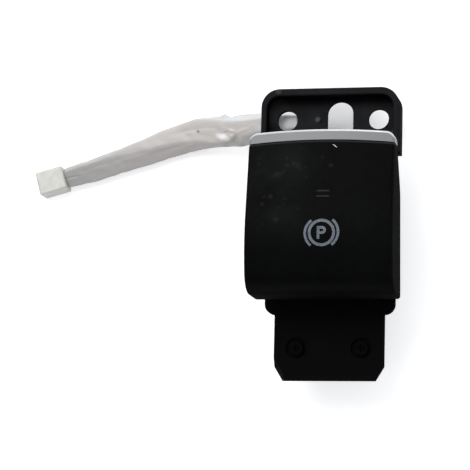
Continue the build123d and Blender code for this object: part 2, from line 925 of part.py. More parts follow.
# Screws
def screws(places, seat_z, radius, length, head_radius, head_height, upright=True):
    """Cross-head screws, heads up, or heads down when upright is false."""
    way = 1 if upright else -1
    with BuildPart() as group:
        with BuildSketch(Plane.XY.offset(seat_z)):
            with Locations(*places):
                Circle(radius)
        extrude(amount=-way * length)
        with BuildSketch(Plane.XY.offset(seat_z)):
            with Locations(*places):
                Circle(head_radius)
        extrude(amount=way * head_height)
        rims = group.edges().filter_by_position(
            Axis.Z, seat_z + way * head_height - 0.01, seat_z + way * head_height + 0.01
        )
        fillet(rims, screw_head_round * head_height / screw_head_height)
        span = screw_cross_span * head_radius / screw_head_radius
        slot = screw_cross_width * head_radius / screw_head_radius
        with BuildSketch(Plane.XY.offset(seat_z + way * head_height)):
            with Locations(*places):
                Rectangle(span, slot)
                Rectangle(slot, span)
        extrude(
            amount=-way * screw_cross_depth * head_height / screw_head_height,
            mode=Mode.SUBTRACT,
        )
    return group.part


tongue_screws = screws(
    tongue_screw_places,
    plate_top - recess_depth,
    screw_radius,
    screw_length,
    screw_head_radius,
    screw_head_height,
)
tongue_screws.label = "tongue_screws"
deck_screws = screws(
    deck_screw_places,
    plate_top,
    screw_radius,
    screw_length + recess_depth,
    screw_head_radius,
    screw_head_height,
)
deck_screws.label = "deck_screws"
board_screws = screws(
    standoff_places,
    board_top,
    small_screw_radius,
    small_screw_length,
    small_screw_head_radius,
    small_screw_head_height,
)
board_screws.label = "board_screws"
carrier_screws = screws(
    boss_places,
    carrier_bottom,
    small_screw_radius,
    small_screw_length,
    small_screw_head_radius,
    small_screw_head_height,
    upright=False,
)
carrier_screws.label = "carrier_screws"

# Switch housing: a box open below, with a bay for the lead's grommet
with BuildPart() as switch_housing:
    with BuildSketch(Plane.XY.offset(cover_thickness)):
        with Locations((0, housing_middle)):
            RectangleRounded(housing_width, housing_length, housing_corner_radius)
    extrude(amount=housing_top - cover_thickness)
    with BuildSketch(Plane.XY.offset(bay_bottom)):
        with Locations((bay_middle, (housing_middle + bay_front) / 2)):
            Rectangle(bay_width, bay_front - housing_middle)
    extrude(amount=housing_top - bay_bottom)
    with BuildSketch(Plane.XY.offset(cover_thickness)):
        with Locations((0, housing_middle)):
            RectangleRounded(
                housing_width - 2 * housing_wall,
                housing_length - 2 * housing_wall,
                housing_corner_radius - housing_wall,
            )
    extrude(amount=deck_bottom - cover_thickness, mode=Mode.SUBTRACT)
    with BuildSketch(Plane.XY.offset(bay_bottom + bay_wall)):
        with Locations((bay_middle, (housing_middle + bay_front - bay_wall) / 2)):
            Rectangle(bay_width - 2 * bay_wall, bay_front - bay_wall - housing_middle)
    extrude(amount=deck_bottom - bay_bottom - bay_wall, mode=Mode.SUBTRACT)
    with BuildSketch(Plane.XY.offset(deck_bottom - guide_tube_drop)):
        for x, y in plunger_places.values():
            with Locations((x, y)):
                Circle(guide_tube_radius)
    extrude(amount=guide_tube_top - deck_bottom + guide_tube_drop)
    with BuildSketch(Plane.XY.offset(deck_bottom - post_length)):
        with Locations(*tongue_screw_places, *deck_screw_places):
            Circle(post_radius)
    extrude(amount=post_length)
    with BuildSketch(Plane.XY.offset(deck_bottom - guide_tube_drop)):
        for x, y in plunger_places.values():
            with Locations((x, y)):
                Circle(stem_radius + stem_clearance)
    extrude(amount=guide_tube_top - deck_bottom + guide_tube_drop, mode=Mode.SUBTRACT)
    with BuildSketch(Plane.XY.offset(housing_top)):
        with Locations(*tongue_screw_places, *deck_screw_places):
            Circle(screw_radius + screw_bore_gap)
    extrude(amount=-screw_length, mode=Mode.SUBTRACT)
    with BuildSketch(Plane.XY.offset(deck_bottom)):
        with Locations((0, (deck_slot_front + deck_slot_rear) / 2)):
            Rectangle(2 * deck_slot_half_width, deck_slot_front - deck_slot_rear)
    extrude(amount=housing_deck, mode=Mode.SUBTRACT)
    with BuildSketch(Plane.YZ.offset(bay_outer_x)):
        with Locations((lead_exit_y, lead_exit_z)):
            Circle(grommet_neck_radius + grommet_clearance)
    extrude(amount=bay_wall, mode=Mode.SUBTRACT)
switch_housing.part.label = "switch_housing"

# Housing cover, with a raised panel below, a lip inside the housing's walls and the board's standoffs
with BuildPart() as housing_cover:
    with BuildSketch(Plane.XY.offset(cover_panel_height)):
        with Locations((0, housing_middle)):
            RectangleRounded(housing_width, housing_length, housing_corner_radius)
    extrude(amount=cover_thickness - cover_panel_height)
    with BuildSketch():
        with Locations((0, housing_middle)):
            Rectangle(
                housing_width - 2 * cover_panel_inset, housing_length - 2 * cover_panel_inset
            )
    extrude(amount=cover_panel_height)
    with BuildSketch(Plane.XY.offset(cover_thickness)):
        lip_inset = 2 * (housing_wall + cover_lip_gap)
        with Locations((0, housing_middle)):
            Rectangle(housing_width - lip_inset, housing_length - lip_inset)
            Rectangle(
                housing_width - lip_inset - 2 * cover_lip_wall,
                housing_length - lip_inset - 2 * cover_lip_wall,
                mode=Mode.SUBTRACT,
            )
    extrude(amount=cover_lip_height)
    chamfer(
        housing_cover.edges()
        .filter_by(Axis.Z)
        .filter_by_position(Axis.Z, cover_thickness, cover_thickness + cover_lip_height)
        .sort_by_distance((0, housing_middle, 0))[-4:],
        housing_corner_radius - housing_wall,
    )
    with BuildSketch(Plane.XY.offset(cover_thickness)):
        with Locations(*standoff_places):
            Circle(standoff_radius)
    extrude(amount=board_bottom - cover_thickness)
    with BuildSketch(Plane.XY.offset(board_bottom)):
        with Locations(*standoff_places):
            Circle(small_screw_radius + screw_bore_gap)
    extrude(
        amount=board_thickness - small_screw_length - screw_bore_gap, mode=Mode.SUBTRACT
    )
housing_cover.part.label = "housing_cover"

# Circuit board
with BuildPart() as circuit_board:
    with BuildSketch(Plane.XY.offset(board_bottom)):
        with Locations((0, (board_front + board_rear) / 2)):
            RectangleRounded(board_width, board_front - board_rear, board_corner_radius)
        with Locations(*standoff_places):
            Circle(small_screw_radius + screw_bore_gap, mode=Mode.SUBTRACT)
    extrude(amount=board_thickness)
circuit_board.part.label = "circuit_board"

# Status lights under the light guide's legs
with BuildPart() as status_leds:
    with BuildSketch(Plane.XY.offset(board_top)):
        with Locations(*guide_legs):
            Rectangle(led_length, led_width)
    extrude(amount=led_height)
    fillet(status_leds.edges().group_by(Axis.Z)[-1], led_height / 5)
status_leds.part.label = "status_leds"

# Controller chip and the small parts beside it
with BuildPart() as board_chips:
    with BuildSketch(Plane.XY.offset(board_top)):
        with Locations((0, chip_y)):
            Rectangle(chip_size, chip_size)
    extrude(amount=chip_height)
    with BuildSketch(Plane.XY.offset(board_top)):
        with Locations((0, chip_y)):
            with GridLocations(2 * chip_size, small_part_pitch, 2, 3):
                Rectangle(small_part_width, small_part_length)
    extrude(amount=small_part_height)
board_chips.part.label = "board_chips"

# Header where the inner wires plug into the board
with BuildPart() as board_header:
    with BuildSketch(Plane.XY.offset(board_top)):
        with Locations((bay_middle, header_y)):
            Rectangle(header_length, header_width)
    extrude(amount=header_height)
    with BuildSketch(Plane.XY.offset(board_top + header_height)):
        with Locations((bay_middle, header_y)):
            Circle(wire_radius + wire_clearance)
    extrude(amount=-header_socket_depth, mode=Mode.SUBTRACT)
board_header.part.label = "board_header"


# Microswitches, plungers and springs, one set under each foot of the carrier
def microswitch(x, y):
    """A small tactile switch with a round button."""
    with BuildPart() as switch:
        with BuildSketch(Plane.XY.offset(board_top)):
            with Locations((x, y)):
                Rectangle(switch_size, switch_size)
        extrude(amount=switch_height)
        chamfer(switch.edges().group_by(Axis.Z)[-1], switch_edge_chamfer)
        with BuildSketch(Plane.XY.offset(board_top + switch_height)):
            with Locations((x, y)):
                Circle(switch_button_radius)
        extrude(amount=switch_button_top - board_top - switch_height)
    return switch.part


def plunger(x, y):
    """A stem with a round head under the carrier's foot."""
    with BuildPart() as stem:
        with BuildSketch(Plane.XY.offset(plunger_foot_z)):
            with Locations((x, y)):
                Circle(stem_radius)
        extrude(amount=plunger_top - plunger_foot_z)
        with BuildSketch(Plane.XY.offset(head_bottom)):
            with Locations((x, y)):
                Circle(head_radius)
        extrude(amount=head_thickness)
        fillet(stem.edges().group_by(Axis.Z)[-1], head_thickness / 4)
    return stem.part


def plunger_spring(x, y):
    """A coil spring between the guide tube and the plunger's head."""
    low = guide_tube_top + spring_seat_gap + spring_wire / 2
    high = head_bottom - spring_seat_gap - spring_wire / 2
    with BuildPart() as spring:
        with BuildLine(Plane.XY.offset(low)):
            Helix((high - low) / spring_turns, high - low, spring_radius, center=(x, y, 0))
        start = Plane(origin=(x + spring_radius, y, low), z_dir=(0, 1, 0))
        with BuildSketch(start):
            Circle(spring_wire / 2)
        sweep(is_frenet=True)
    return spring.part


pieces = []
for place, (x, y) in plunger_places.items():
    for kind, maker in (
        ("microswitch", microswitch),
        ("plunger", plunger),
        ("plunger_spring", plunger_spring),
    ):
        piece = maker(x, y)
        piece.label = f"{kind}_{place}"
        pieces.append(piece)

# Grommet in the bay's wall, round the inner wires
with BuildPart() as lead_grommet:
    with BuildSketch(Plane.YZ.offset(bay_outer_x)):
        with Locations((lead_exit_y, lead_exit_z)):
            Circle(grommet_neck_radius)
    extrude(amount=bay_wall)
    with BuildSketch(Plane.YZ.offset(bay_outer_x)):
        with Locations((lead_exit_y, lead_exit_z)):
            Circle(grommet_flange_radius)
    extrude(amount=-grommet_flange)
    fillet(lead_grommet.edges().group_by(Axis.X)[0], grommet_flange / 3)
    with BuildSketch(Plane.YZ.offset(bay_outer_x - grommet_flange)):
        with Locations((lead_exit_y, lead_exit_z)):
            Circle(wire_radius + wire_clearance)
    extrude(amount=grommet_flange + bay_wall, mode=Mode.SUBTRACT)
lead_grommet.part.label = "lead_grommet"


def swept_route(points, radius):
    """A round solid along straight runs joined by arcs as large as the runs allow."""
    radii = []
    for before, corner, after in zip(points, points[1:], points[2:]):
        first = Vector(corner) - Vector(before)
        second = Vector(after) - Vector(corner)
        turn = math.radians(first.get_angle(second))
        shorter = min(first.length, second.length)
        radii.append(0.45 * shorter / math.tan(turn / 2))
    with BuildPart() as tube:
        with BuildLine() as route:
            FilletPolyline(*points, radius=radii)
        start = Plane(origin=points[0], z_dir=Vector(points[1]) - Vector(points[0]))
        with BuildSketch(start):
            Circle(radius)
        sweep()
    length = sum(edge.length for edge in route.line.edges())
    print("radii", [round(value, 1) for value in radii])
    print("length", round(length, 1), "volume", round(tube.part.volume, 1))
    print("section times length", round(math.pi * radius**2 * length, 1))
    return tube.part


# Inner wires: the bundle from the lead's end to the board's header
wire_start = (bay_outer_x - grommet_flange, lead_exit_y, lead_exit_z)
header_mouth = board_top + header_height - header_socket_depth
inner_wires = swept_route(
    [
        wire_start,
        (bay_middle, lead_exit_y, lead_exit_z),
        (bay_middle, header_y, lead_exit_z),
        (bay_middle, header_y, header_mouth),
    ],
    wire_radius,
)
inner_wires.label = "inner_wires"

# Lead
lead_route = [wire_start, *lead_points, lead_end]
lead = swept_route(lead_route, lead_diameter / 2)
lead.label = "lead"

# Lead plug, a plain nylon block with four contacts
lead_way = Vector(lead_end) - Vector(lead_points[-1])
plug_plane = Plane(origin=lead_end, x_dir=lead_way.cross(Vector(0, 0, 1)), z_dir=lead_way)
with BuildPart() as lead_plug:
    with BuildSketch(plug_plane):
        Rectangle(plug_width, 2 * lead_end[2])
    extrude(amount=plug_length)
    fillet(lead_plug.edges(), plug_round)
    with BuildSketch(plug_plane.offset(plug_length)):
        with GridLocations(plug_pitch, plug_row_pitch, 2, 2):
            Rectangle(plug_cavity, plug_cavity)
    extrude(amount=-plug_cavity_depth, mode=Mode.SUBTRACT)
lead_plug.part.label = "lead_plug"
with BuildPart() as plug_contacts:
    with BuildSketch(plug_plane.offset(plug_length - plug_cavity_depth)):
        with GridLocations(plug_pitch, plug_row_pitch, 2, 2):
            Rectangle(contact_size, contact_size)
    extrude(amount=plug_cavity_depth - contact_setback)
plug_contacts.part.label = "plug_contacts"

pieces += [
    mounting_frame.part,
    hinge_pin.part,
    stop_pads.part,
    parking_symbol.part,
    indicator_lens.part,
    paddle_cover.part,
    front_trim.part,
    paddle_carrier.part,
    light_guide.part,
    grip_panel.part,
    tongue_screws,
    deck_screws,
    board_screws,
    carrier_screws,
    switch_housing.part,
    housing_cover.part,
    circuit_board.part,
    status_leds.part,
    board_chips.part,
    board_header.part,
    lead_grommet.part,
    inner_wires,
    lead,
    lead_plug.part,
    plug_contacts.part,
]
os.makedirs("parts", exist_ok=True)
for piece in pieces:
    export_step(piece, f"parts/{piece.label}.step")
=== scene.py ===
"""Pull-up switch for an electric parking brake, dressed for looks around its solid model.

Metres throughout, and MM turns millimetres into metres. +X runs across the paddle, +Y towards its
bright lip, +Z up. The sections follow the switch as it is put together, from its lead to its paddle.
"""

import math

import bmesh
import bpy
import numpy as np
from mathutils import Matrix, Vector


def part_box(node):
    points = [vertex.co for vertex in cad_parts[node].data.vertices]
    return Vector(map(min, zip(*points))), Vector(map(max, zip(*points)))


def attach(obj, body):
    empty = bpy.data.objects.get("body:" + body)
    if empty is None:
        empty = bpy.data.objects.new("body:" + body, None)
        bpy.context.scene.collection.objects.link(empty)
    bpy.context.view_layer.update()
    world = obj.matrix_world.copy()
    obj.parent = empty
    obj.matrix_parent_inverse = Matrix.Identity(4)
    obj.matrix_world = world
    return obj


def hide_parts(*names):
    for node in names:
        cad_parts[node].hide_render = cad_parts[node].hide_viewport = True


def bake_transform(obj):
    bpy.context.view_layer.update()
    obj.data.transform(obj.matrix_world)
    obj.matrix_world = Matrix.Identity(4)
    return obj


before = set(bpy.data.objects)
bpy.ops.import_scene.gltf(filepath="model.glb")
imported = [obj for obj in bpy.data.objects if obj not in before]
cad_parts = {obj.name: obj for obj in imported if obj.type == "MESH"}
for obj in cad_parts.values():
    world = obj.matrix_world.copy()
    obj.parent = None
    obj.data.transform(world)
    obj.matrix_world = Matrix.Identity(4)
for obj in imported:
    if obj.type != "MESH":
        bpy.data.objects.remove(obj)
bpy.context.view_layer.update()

MM = 0.001
scene = bpy.context.scene


# Camera and studio
# The switch is seen almost from straight above, from a little to its right and towards the palm side.
# A long lens far off keeps its sides parallel, and soft lamps stand round it in a pale room.
photo_side = 470
camera_distance = 0.9
metres_per_pixel = 0.3792 * MM
lean_right = math.radians(12.23)
lean_palm = math.radians(9.47)
camera_roll = math.radians(1.45)
aim = Vector((-36.7, 0.20, 25.0)) * MM
sensor_width = 36.0
far_limit = 10
room_colour = (0.93, 0.95, 1.0, 1)
room_strength = 0.60

back = Vector((math.tan(lean_right), -math.tan(lean_palm), 1.0)).normalized()
right = Vector((0, 1, 0)).cross(back).normalized()
up = back.cross(right)
rolled_right = right * math.cos(camera_roll) + up * math.sin(camera_roll)
rolled_up = up * math.cos(camera_roll) - right * math.sin(camera_roll)
camera = bpy.data.objects.new("camera", bpy.data.cameras.new("camera"))
camera.data.sensor_width = sensor_width
camera.data.lens = sensor_width * camera_distance / metres_per_pixel / photo_side
camera.data.clip_end = far_limit
camera.matrix_world = Matrix.Translation(aim + back * camera_distance) @ Matrix(
    (rolled_right, rolled_up, back)
).transposed().to_4x4()
scene.collection.objects.link(camera)
scene.camera = camera
scene.view_settings.view_transform = "Standard"


def area_light(name, place, target, size, watts):
    """A square soft light at place that faces target."""
    lamp = bpy.data.lights.new(name, "AREA")
    lamp.size = size
    lamp.energy = watts
    light = bpy.data.objects.new(name, lamp)
    way = Vector(target) - Vector(place)
    light.location = place
    light.rotation_euler = way.to_track_quat("-Z", "Y").to_euler()
    scene.collection.objects.link(light)


area_light("key", place=(-0.22, 0.34, 0.72), target=(0, 0, 0.02), size=0.45, watts=2.9)
area_light("fill", place=(0.55, -0.35, 0.60), target=(0, 0, 0.02), size=0.50, watts=0.6)
area_light("lip_light", place=(0.05, 0.75, 0.35), target=(0, 0.03, 0.04), size=0.35, watts=2.0)

world = bpy.data.worlds.new("studio")
world.use_nodes = True
room = world.node_tree.nodes["Background"].inputs
room["Color"].default_value = room_colour
room["Strength"].default_value = room_strength
scene.world = world


def add(tree, kind, feeds, **settings):
    """A new shader node. feeds gives its sockets their values or other nodes' outputs."""
    node = tree.nodes.new("ShaderNode" + kind)
    for name, value in settings.items():
        setattr(node, name, value)
    for socket, feed in feeds.items():
        if isinstance(feed, bpy.types.NodeSocket):
            tree.links.new(feed, node.inputs[socket])
        else:
            node.inputs[socket].default_value = feed
    return node


def maths(tree, operation, *feeds):
    """The result of one Math node."""
    return add(tree, "Math", dict(enumerate(feeds)), operation=operation).outputs[0]


def times(tree, first, second):
    """The product of two numbers."""
    return maths(tree, "MULTIPLY", first, second)


def coordinates(tree, output="Object"):
    """The piece's own coordinates."""
    return add(tree, "TexCoord", {}).outputs[output]


def stretched(tree, place, factors):
    """A place with each coordinate multiplied, so that a pattern runs longer one way."""
    return add(tree, "VectorMath", {0: place, 1: factors}, operation="MULTIPLY").outputs[0]


def share(tree, value, low, high):
    """How far a value has gone from low to high, eased, from 0 to 1."""
    feeds = {"Value": value, "From Min": low, "From Max": high}
    return add(tree, "MapRange", feeds, interpolation_type="SMOOTHSTEP").outputs["Result"]


def new_finish(name, roughness, specular, metallic=0.0):
    """A material with a Principled shader: (material, its node tree, its shader)."""
    material = bpy.data.materials.new(name)
    material.use_nodes = True
    shader = material.node_tree.nodes["Principled BSDF"]
    shader.inputs["Roughness"].default_value = roughness
    shader.inputs["Specular IOR Level"].default_value = specular
    shader.inputs["Metallic"].default_value = metallic
    return material, material.node_tree, shader


def floor():
    """A plain pale floor that the camera sees as near white, with the object's shadow on it.

    The white, which only camera, mirrored and transmitted rays see, fades in a soft ellipse below
    the tray, so that the tray's holes look into shade.
    """
    reach = 3.0
    albedo = 0.82
    glow_strength = 0.54
    shade_middle = Vector((-5, 50, 0)) * MM
    shade_length = 45 * MM
    shade_width = 21 * MM
    full_shade = 0.15
    paint, tree, shader = new_finish("pale_floor", roughness=0.9, specular=0.5)
    shader.inputs["Base Color"].default_value = (albedo, albedo, albedo, 1)
    feeds = {0: coordinates(tree), 1: shade_middle}
    from_middle = add(tree, "VectorMath", feeds, operation="SUBTRACT").outputs[0]
    scaled = stretched(tree, from_middle, (1 / shade_length, 1 / shade_width, 0))
    away = add(tree, "VectorMath", {0: scaled}, operation="LENGTH").outputs["Value"]
    open_floor = share(tree, away, full_shade, 1.0)
    rays = add(tree, "LightPath", {}).outputs
    mirrored = maths(tree, "MAXIMUM", rays["Is Glossy Ray"], rays["Is Transmission Ray"])
    seen = maths(tree, "MAXIMUM", rays["Is Camera Ray"], mirrored)
    strength = times(tree, times(tree, seen, open_floor), glow_strength)
    glow = add(tree, "Emission", {"Strength": strength})
    both = add(tree, "AddShader", {0: shader.outputs[0], 1: glow.outputs[0]})
    tree.links.new(both.outputs[0], tree.nodes["Material Output"].inputs["Surface"])
    rim = [(-reach, -reach, 0), (reach, -reach, 0), (reach, reach, 0), (-reach, reach, 0)]
    mesh = bpy.data.meshes.new("floor")
    mesh.from_pydata(rim, [], [(0, 1, 2, 3)])
    mesh.materials.append(paint)
    piece = bpy.data.objects.new("floor", mesh)
    scene.collection.objects.link(piece)


floor()


# Lead
# A soft white sleeve of thin film drawn over the switch's wires, pressed nearly flat where it comes
# out under the tray and crumpled there, then rounder on its way to the plug, where shade is painted
# into it as a greyer colour. Near the tray it is painted lighter, and its folded edge and the fold's
# crests carry painted highlights.
lead_route = [
    (-14.2, 44.9, 16.0),
    (-30.0, 44.9, 16.0),
    (-45.0, 44.2, 8.2),
    (-60.0, 42.6, 4.3),
    (-74.0, 38.6, 4.3),
    (-88.0, 33.6, 4.3),
    (-99.2, 30.0, 4.3),
    (-110.0, 27.0, 4.3),
]

# Each station: mm along the sleeve, half its width, how far it lies to the lip's side of its line,
# and, as shares of the half width, where its upper and its lower crease run across it.
sleeve_stations = [
    (0, 3.9, 0.0, 0.60, -0.60),
    (10, 5.2, -0.4, 0.55, -0.55),
    (20, 6.4, -1.1, 0.46, -0.40),
    (27, 6.4, -0.7, 0.52, -0.55),
    (34, 6.4, 0.0, 0.64, -0.75),
    (39, 6.4, 0.5, 0.74, -0.70),
    (44, 6.6, 0.8, 0.80, -0.50),
    (50, 6.3, 0.6, 0.76, -0.40),
    (56, 6.2, 0.5, 0.72, -0.22),
    (65, 5.7, 0.0, 0.70, -0.08),
    (73, 5.25, 0.0, 0.66, 0.05),
    (80, 5.2, 0.0, 0.52, 0.14),
    (86, 4.9, 0.0, 0.50, 0.20),
    (93, 4.6, 0.0, 0.54, 0.16),
    (100, 4.2, 0.1, 0.52, 0.18),
]
# Each row: mm along the sleeve, then the heights over its line of the upper crease, the lower
# crease, the two folded edges and the underside's middle.
crease_heights = [
    (0, 3.5, 3.5, -0.8, -4.0),
    (20, 3.3, 2.9, -0.9, -3.6),
    (34, 3.1, 2.3, -0.8, -3.6),
    (50, 3.2, 2.9, -1.1, -3.9),
    (65, 3.5, 3.6, -0.8, -4.1),
    (80, 3.7, 3.3, -0.4, -4.15),
    (100, 3.6, 3.1, -0.3, -4.15),
]
# Folds pressed into the film: mm along, degrees round from the lip's side over the top,
# half length and half width in mm, degrees that the fold is turned by, and its height in mm
sleeve_folds = [
    (32.2, 138, 2.4, 1.15, -14, 1.15),
    (27.4, 101, 1.4, 0.95, -30, 0.85),
    (30.0, 112, 1.3, 0.80, 40, -0.45),
    (25.4, 148, 2.2, 1.40, 40, -0.70),
    (25.0, 176, 2.2, 1.30, 10, 0.60),
    (32.6, -4, 1.3, 1.30, 0, 1.00),
    (29.6, -4, 1.2, 1.20, 0, -0.45),
    (36.5, 152, 3.0, 0.80, 8, 0.25),
    (22.5, 112, 3.2, 0.90, 25, 0.25),
    (45.0, 60, 6.0, 1.00, -4, -0.20),
    (47.5, 158, 5.0, 0.80, 5, 0.22),
    (58.0, 150, 7.0, 1.10, -6, -0.22),
    (70.0, 190, 3.0, 1.20, 0, 0.20),
    (78.0, 185, 2.4, 1.00, 0, -0.22),
    (88.0, 188, 3.0, 1.10, 0, 0.22),
    (95.5, 40, 3.5, 1.00, 12, -0.25),
    (97.5, 110, 2.5, 0.80, -10, -0.30),
]


def smooth_route(points, samples):
    """Points read evenly from the one smooth line that has the route as its control points."""
    curve = bpy.data.curves.new("route", "CURVE")
    curve.dimensions = "3D"
    curve.resolution_u = 24
    spline = curve.splines.new("NURBS")
    spline.points.add(len(points) - 1)
    for control, place in zip(spline.points, points):
        control.co = (*(Vector(place) * MM), 1)
    spline.order_u = 3
    spline.use_endpoint_u = True
    holder = bpy.data.objects.new("route", curve)
    line = bpy.data.meshes.new_from_object(holder)
    found = np.empty(len(line.vertices) * 3)
    line.vertices.foreach_get("co", found)
    found = found.reshape(-1, 3)
    bpy.data.objects.remove(holder)
    bpy.data.meshes.remove(line)
    steps = np.r_[0, np.cumsum(np.linalg.norm(np.diff(found, axis=0), axis=1))]
    even = np.linspace(0, steps[-1], samples)
    return np.stack([np.interp(even, steps, found[:, k]) for k in range(3)], 1), steps[-1]


def grid_mesh(name, points, uv=None):
    """A closed mesh over a grid of points whose columns go round in a ring.

    Row i and column j join to row i + 1 and column j + 1, and each end row closes in the point at
    its middle. uv holds each point's place along and round, and going once round adds 1.
    """
    rows, columns = points.shape[:2]
    index = np.arange(rows * columns).reshape(rows, columns)
    following = np.roll(index, -1, 1)
    faces = np.stack([index[:-1], index[1:], following[1:], following[:-1]], -1).reshape(-1, 4)
    poles = points[[0, -1]].mean(1)
    first, last = rows * columns, rows * columns + 1
    start = np.stack([index[0], following[0], np.full(columns, first)], -1)
    end = np.stack([following[-1], index[-1], np.full(columns, last)], -1)
    corners = np.concatenate([points.reshape(-1, 3), poles])
    mesh = bpy.data.meshes.new(name)
    mesh.from_pydata(corners.tolist(), [], faces.tolist() + start.tolist() + end.tolist())
    if uv is not None:
        wrapped = np.concatenate([uv, uv[:, :1] + (0, 1)], 1)
        along, across = np.divmod(np.arange((rows - 1) * columns), columns)
        ring = [wrapped[along + a, across + b] for a, b in ((0, 0), (1, 0), (1, 1), (0, 1))]
        caps = []
        for row in (wrapped[0], wrapped[-1]):
            caps.append(np.stack([row[:-1], row[1:], (row[1:] + row[:-1]) / 2], 1))
        caps[1] = caps[1][:, [1, 0, 2]]
        flat = [np.stack(ring, 1).reshape(-1, 2)] + [cap.reshape(-1, 2) for cap in caps]
        layer = mesh.uv_layers.new(name="along_and_round")
        layer.data.foreach_set("uv", np.concatenate(flat).ravel())
    mesh.shade_smooth()
    return mesh


def line_frame(line):
    """Unit vectors across and over a line that runs more or less level."""
    along = np.gradient(line, axis=0)
    along /= np.linalg.norm(along, axis=1)[:, None]
    side = np.cross(along, (0, 0, 1))
    side /= np.linalg.norm(side, axis=1)[:, None]
    return side, np.cross(side, along)


def station_values(table, s):
    """Each column of a station table at the places s in mm.

    Between two stations a value follows the cubic that has, at each of them, the slope which the
    stations on both its sides give.
    """
    table = np.array(table, float)
    reach = np.interp(s, table[:, 0], np.arange(len(table)))
    low = np.clip(reach.astype(int), 0, len(table) - 2)
    part = reach - low
    rise = np.gradient(table[:, 1:], table[:, 0], axis=0)
    step = (table[low + 1, 0] - table[low, 0])[:, None]
    t = part[:, None]
    start, end = table[low, 1:], table[low + 1, 1:]
    return (
        start * (2 * t**3 - 3 * t**2 + 1)
        + end * (3 * t**2 - 2 * t**3)
        + rise[low] * step * (t**3 - 2 * t**2 + t)
        + rise[low + 1] * step * (t**3 - t**2)
    ).T


def ramp(values, start, end):
    """How far each value has gone from start to end, from 0 to 1."""
    return np.clip((values - start) / (end - start), 0, 1)


def sleeve():
    """A folded film tube, worked out in mm across (y) and over (z) its line.

    Its section is the soft meeting of five flat faces. A face with normal angle f and distance h
    holds the radius at angle t to h / cos(t - f), and the radii meet as the power mean
    (sum of (cos(t - f) / h)^p)^(-1/p), so that p sets how sharp the creases are. A groove deepens
    the lower crease towards the plug. Each fold adds height times exp(-(u/l)^2 - (v/w)^2), with
    u and v measured on the film along and across the fold, and long faint waves go over it all.
    Lengths and depths are in mm, angles in radians, and a pair is a stretch in mm along the sleeve.
    """
    line_points = 460
    ring_points = 112
    crease_power = 13
    crease_power_loss = 4
    softening = (55, 85)
    valley_depth = 0.18
    valley_width = 0.28
    valley_turn = 0.10
    valley_opens = (58, 74)
    valley_closes = (100, 91)
    film_radius = 5.0
    wave_height = 0.07
    ripple_height = 0.05
    waves_start = (0, 14)
    floor_gap = 0.12
    neck = 0.72
    neck_length = 0.8
    end_gap = 0.1
    line, length = smooth_route(lead_route, line_points)
    side, over = line_frame(line)
    s = np.linspace(0, length / MM, len(line))
    half, shift, upper, lower = station_values(sleeve_stations, s)
    upper_z, lower_z, edge_z, under_z = station_values(crease_heights, s)
    across = np.stack([half, upper * half, lower * half, -half, 0 * half])
    height = np.stack([edge_z, upper_z, lower_z, edge_z, under_z])
    run_y = np.roll(across, -1, 0) - across
    run_z = np.roll(height, -1, 0) - height
    facing = np.arctan2(-run_y, run_z)
    distance = across * np.cos(facing) + height * np.sin(facing)
    t = np.linspace(0, 2 * np.pi, ring_points, endpoint=False)[None, :]
    power = (crease_power - crease_power_loss * ramp(s, *softening))[:, None]
    lean = np.maximum(np.cos(t - facing[..., None]), 0) / distance[..., None]
    radius = (lean**power).sum(0) ** (-1 / power)
    valley = np.arctan2(lower_z, lower * half)[:, None] + valley_turn
    deep = valley_depth * ramp(s, *valley_opens) * ramp(s, *valley_closes)
    radius -= deep[:, None] * np.exp(-(((t - valley) / valley_width) ** 2))
    for place, angle, reach, width, turn, rise in sleeve_folds:
        turn = math.radians(turn)
        along = s[:, None] - place
        round_it = (np.mod(t - math.radians(angle) + np.pi, 2 * np.pi) - np.pi) * film_radius
        u = along * math.cos(turn) + round_it * math.sin(turn)
        v = round_it * math.cos(turn) - along * math.sin(turn)
        radius += rise * np.exp(-((u / reach) ** 2) - (v / width) ** 2)
    s = s[:, None]
    fade = ramp(s, *waves_start)
    radius += wave_height * fade * np.sin(2.3 * t + 0.35 * s) * np.sin(0.21 * s + t)
    radius += ripple_height * fade * np.sin(0.9 * s + 3 * t + 1.3 * np.sin(0.4 * s))
    from_end = np.minimum(s, length / MM - s) + end_gap
    radius *= neck + (1 - neck) * np.sqrt(ramp(from_end, 0, neck_length))
    y = radius * np.cos(t) + shift[:, None]
    z = np.maximum(radius * np.sin(t), (floor_gap - line[:, 2] / MM)[:, None])
    points = line[:, None] + (side[:, None] * y[..., None] + over[:, None] * z[..., None]) * MM
    uv = np.stack(np.broadcast_arrays(s / 100, t / (2 * np.pi)), -1)
    return grid_mesh("sleeve", points, uv), line, length


def axis(tree, place, letter):
    """One coordinate of a place, in metres."""
    return add(tree, "SeparateXYZ", {0: place}).outputs[letter]


def between(tree, mask, low, high):
    """A number that goes from low to high as the mask goes from 0 to 1."""
    return add(tree, "MapRange", {"Value": mask, "To Min": low, "To Max": high}).outputs["Result"]


def mixed(tree, mask, first, second):
    """A colour that goes from first to second as the mask goes from 0 to 1."""
    first, second = (c if isinstance(c, bpy.types.NodeSocket) else (*c, 1) for c in (first, second))
    return add(tree, "Mix", {0: mask, 6: first, 7: second}, data_type="RGBA").outputs[2]


def noise(tree, place, size, detail=2.0):
    """Soft noise from 0 to 1 whose spots are about that size in metres."""
    feeds = {"Vector": place, "Scale": 1 / size, "Detail": detail}
    return add(tree, "TexNoise", feeds).outputs[0]


def feed(tree, shader, **feeds):
    """Joins outputs to the shader's sockets, with an underscore for each space in a name."""
    for socket, output in feeds.items():
        tree.links.new(output, shader.inputs[socket.replace("_", " ")])


def relief(tree, height, depth):
    """Normals of a height that goes from 0 to 1 over that depth in metres."""
    return add(tree, "Bump", {"Height": height, "Distance": depth}).outputs[0]


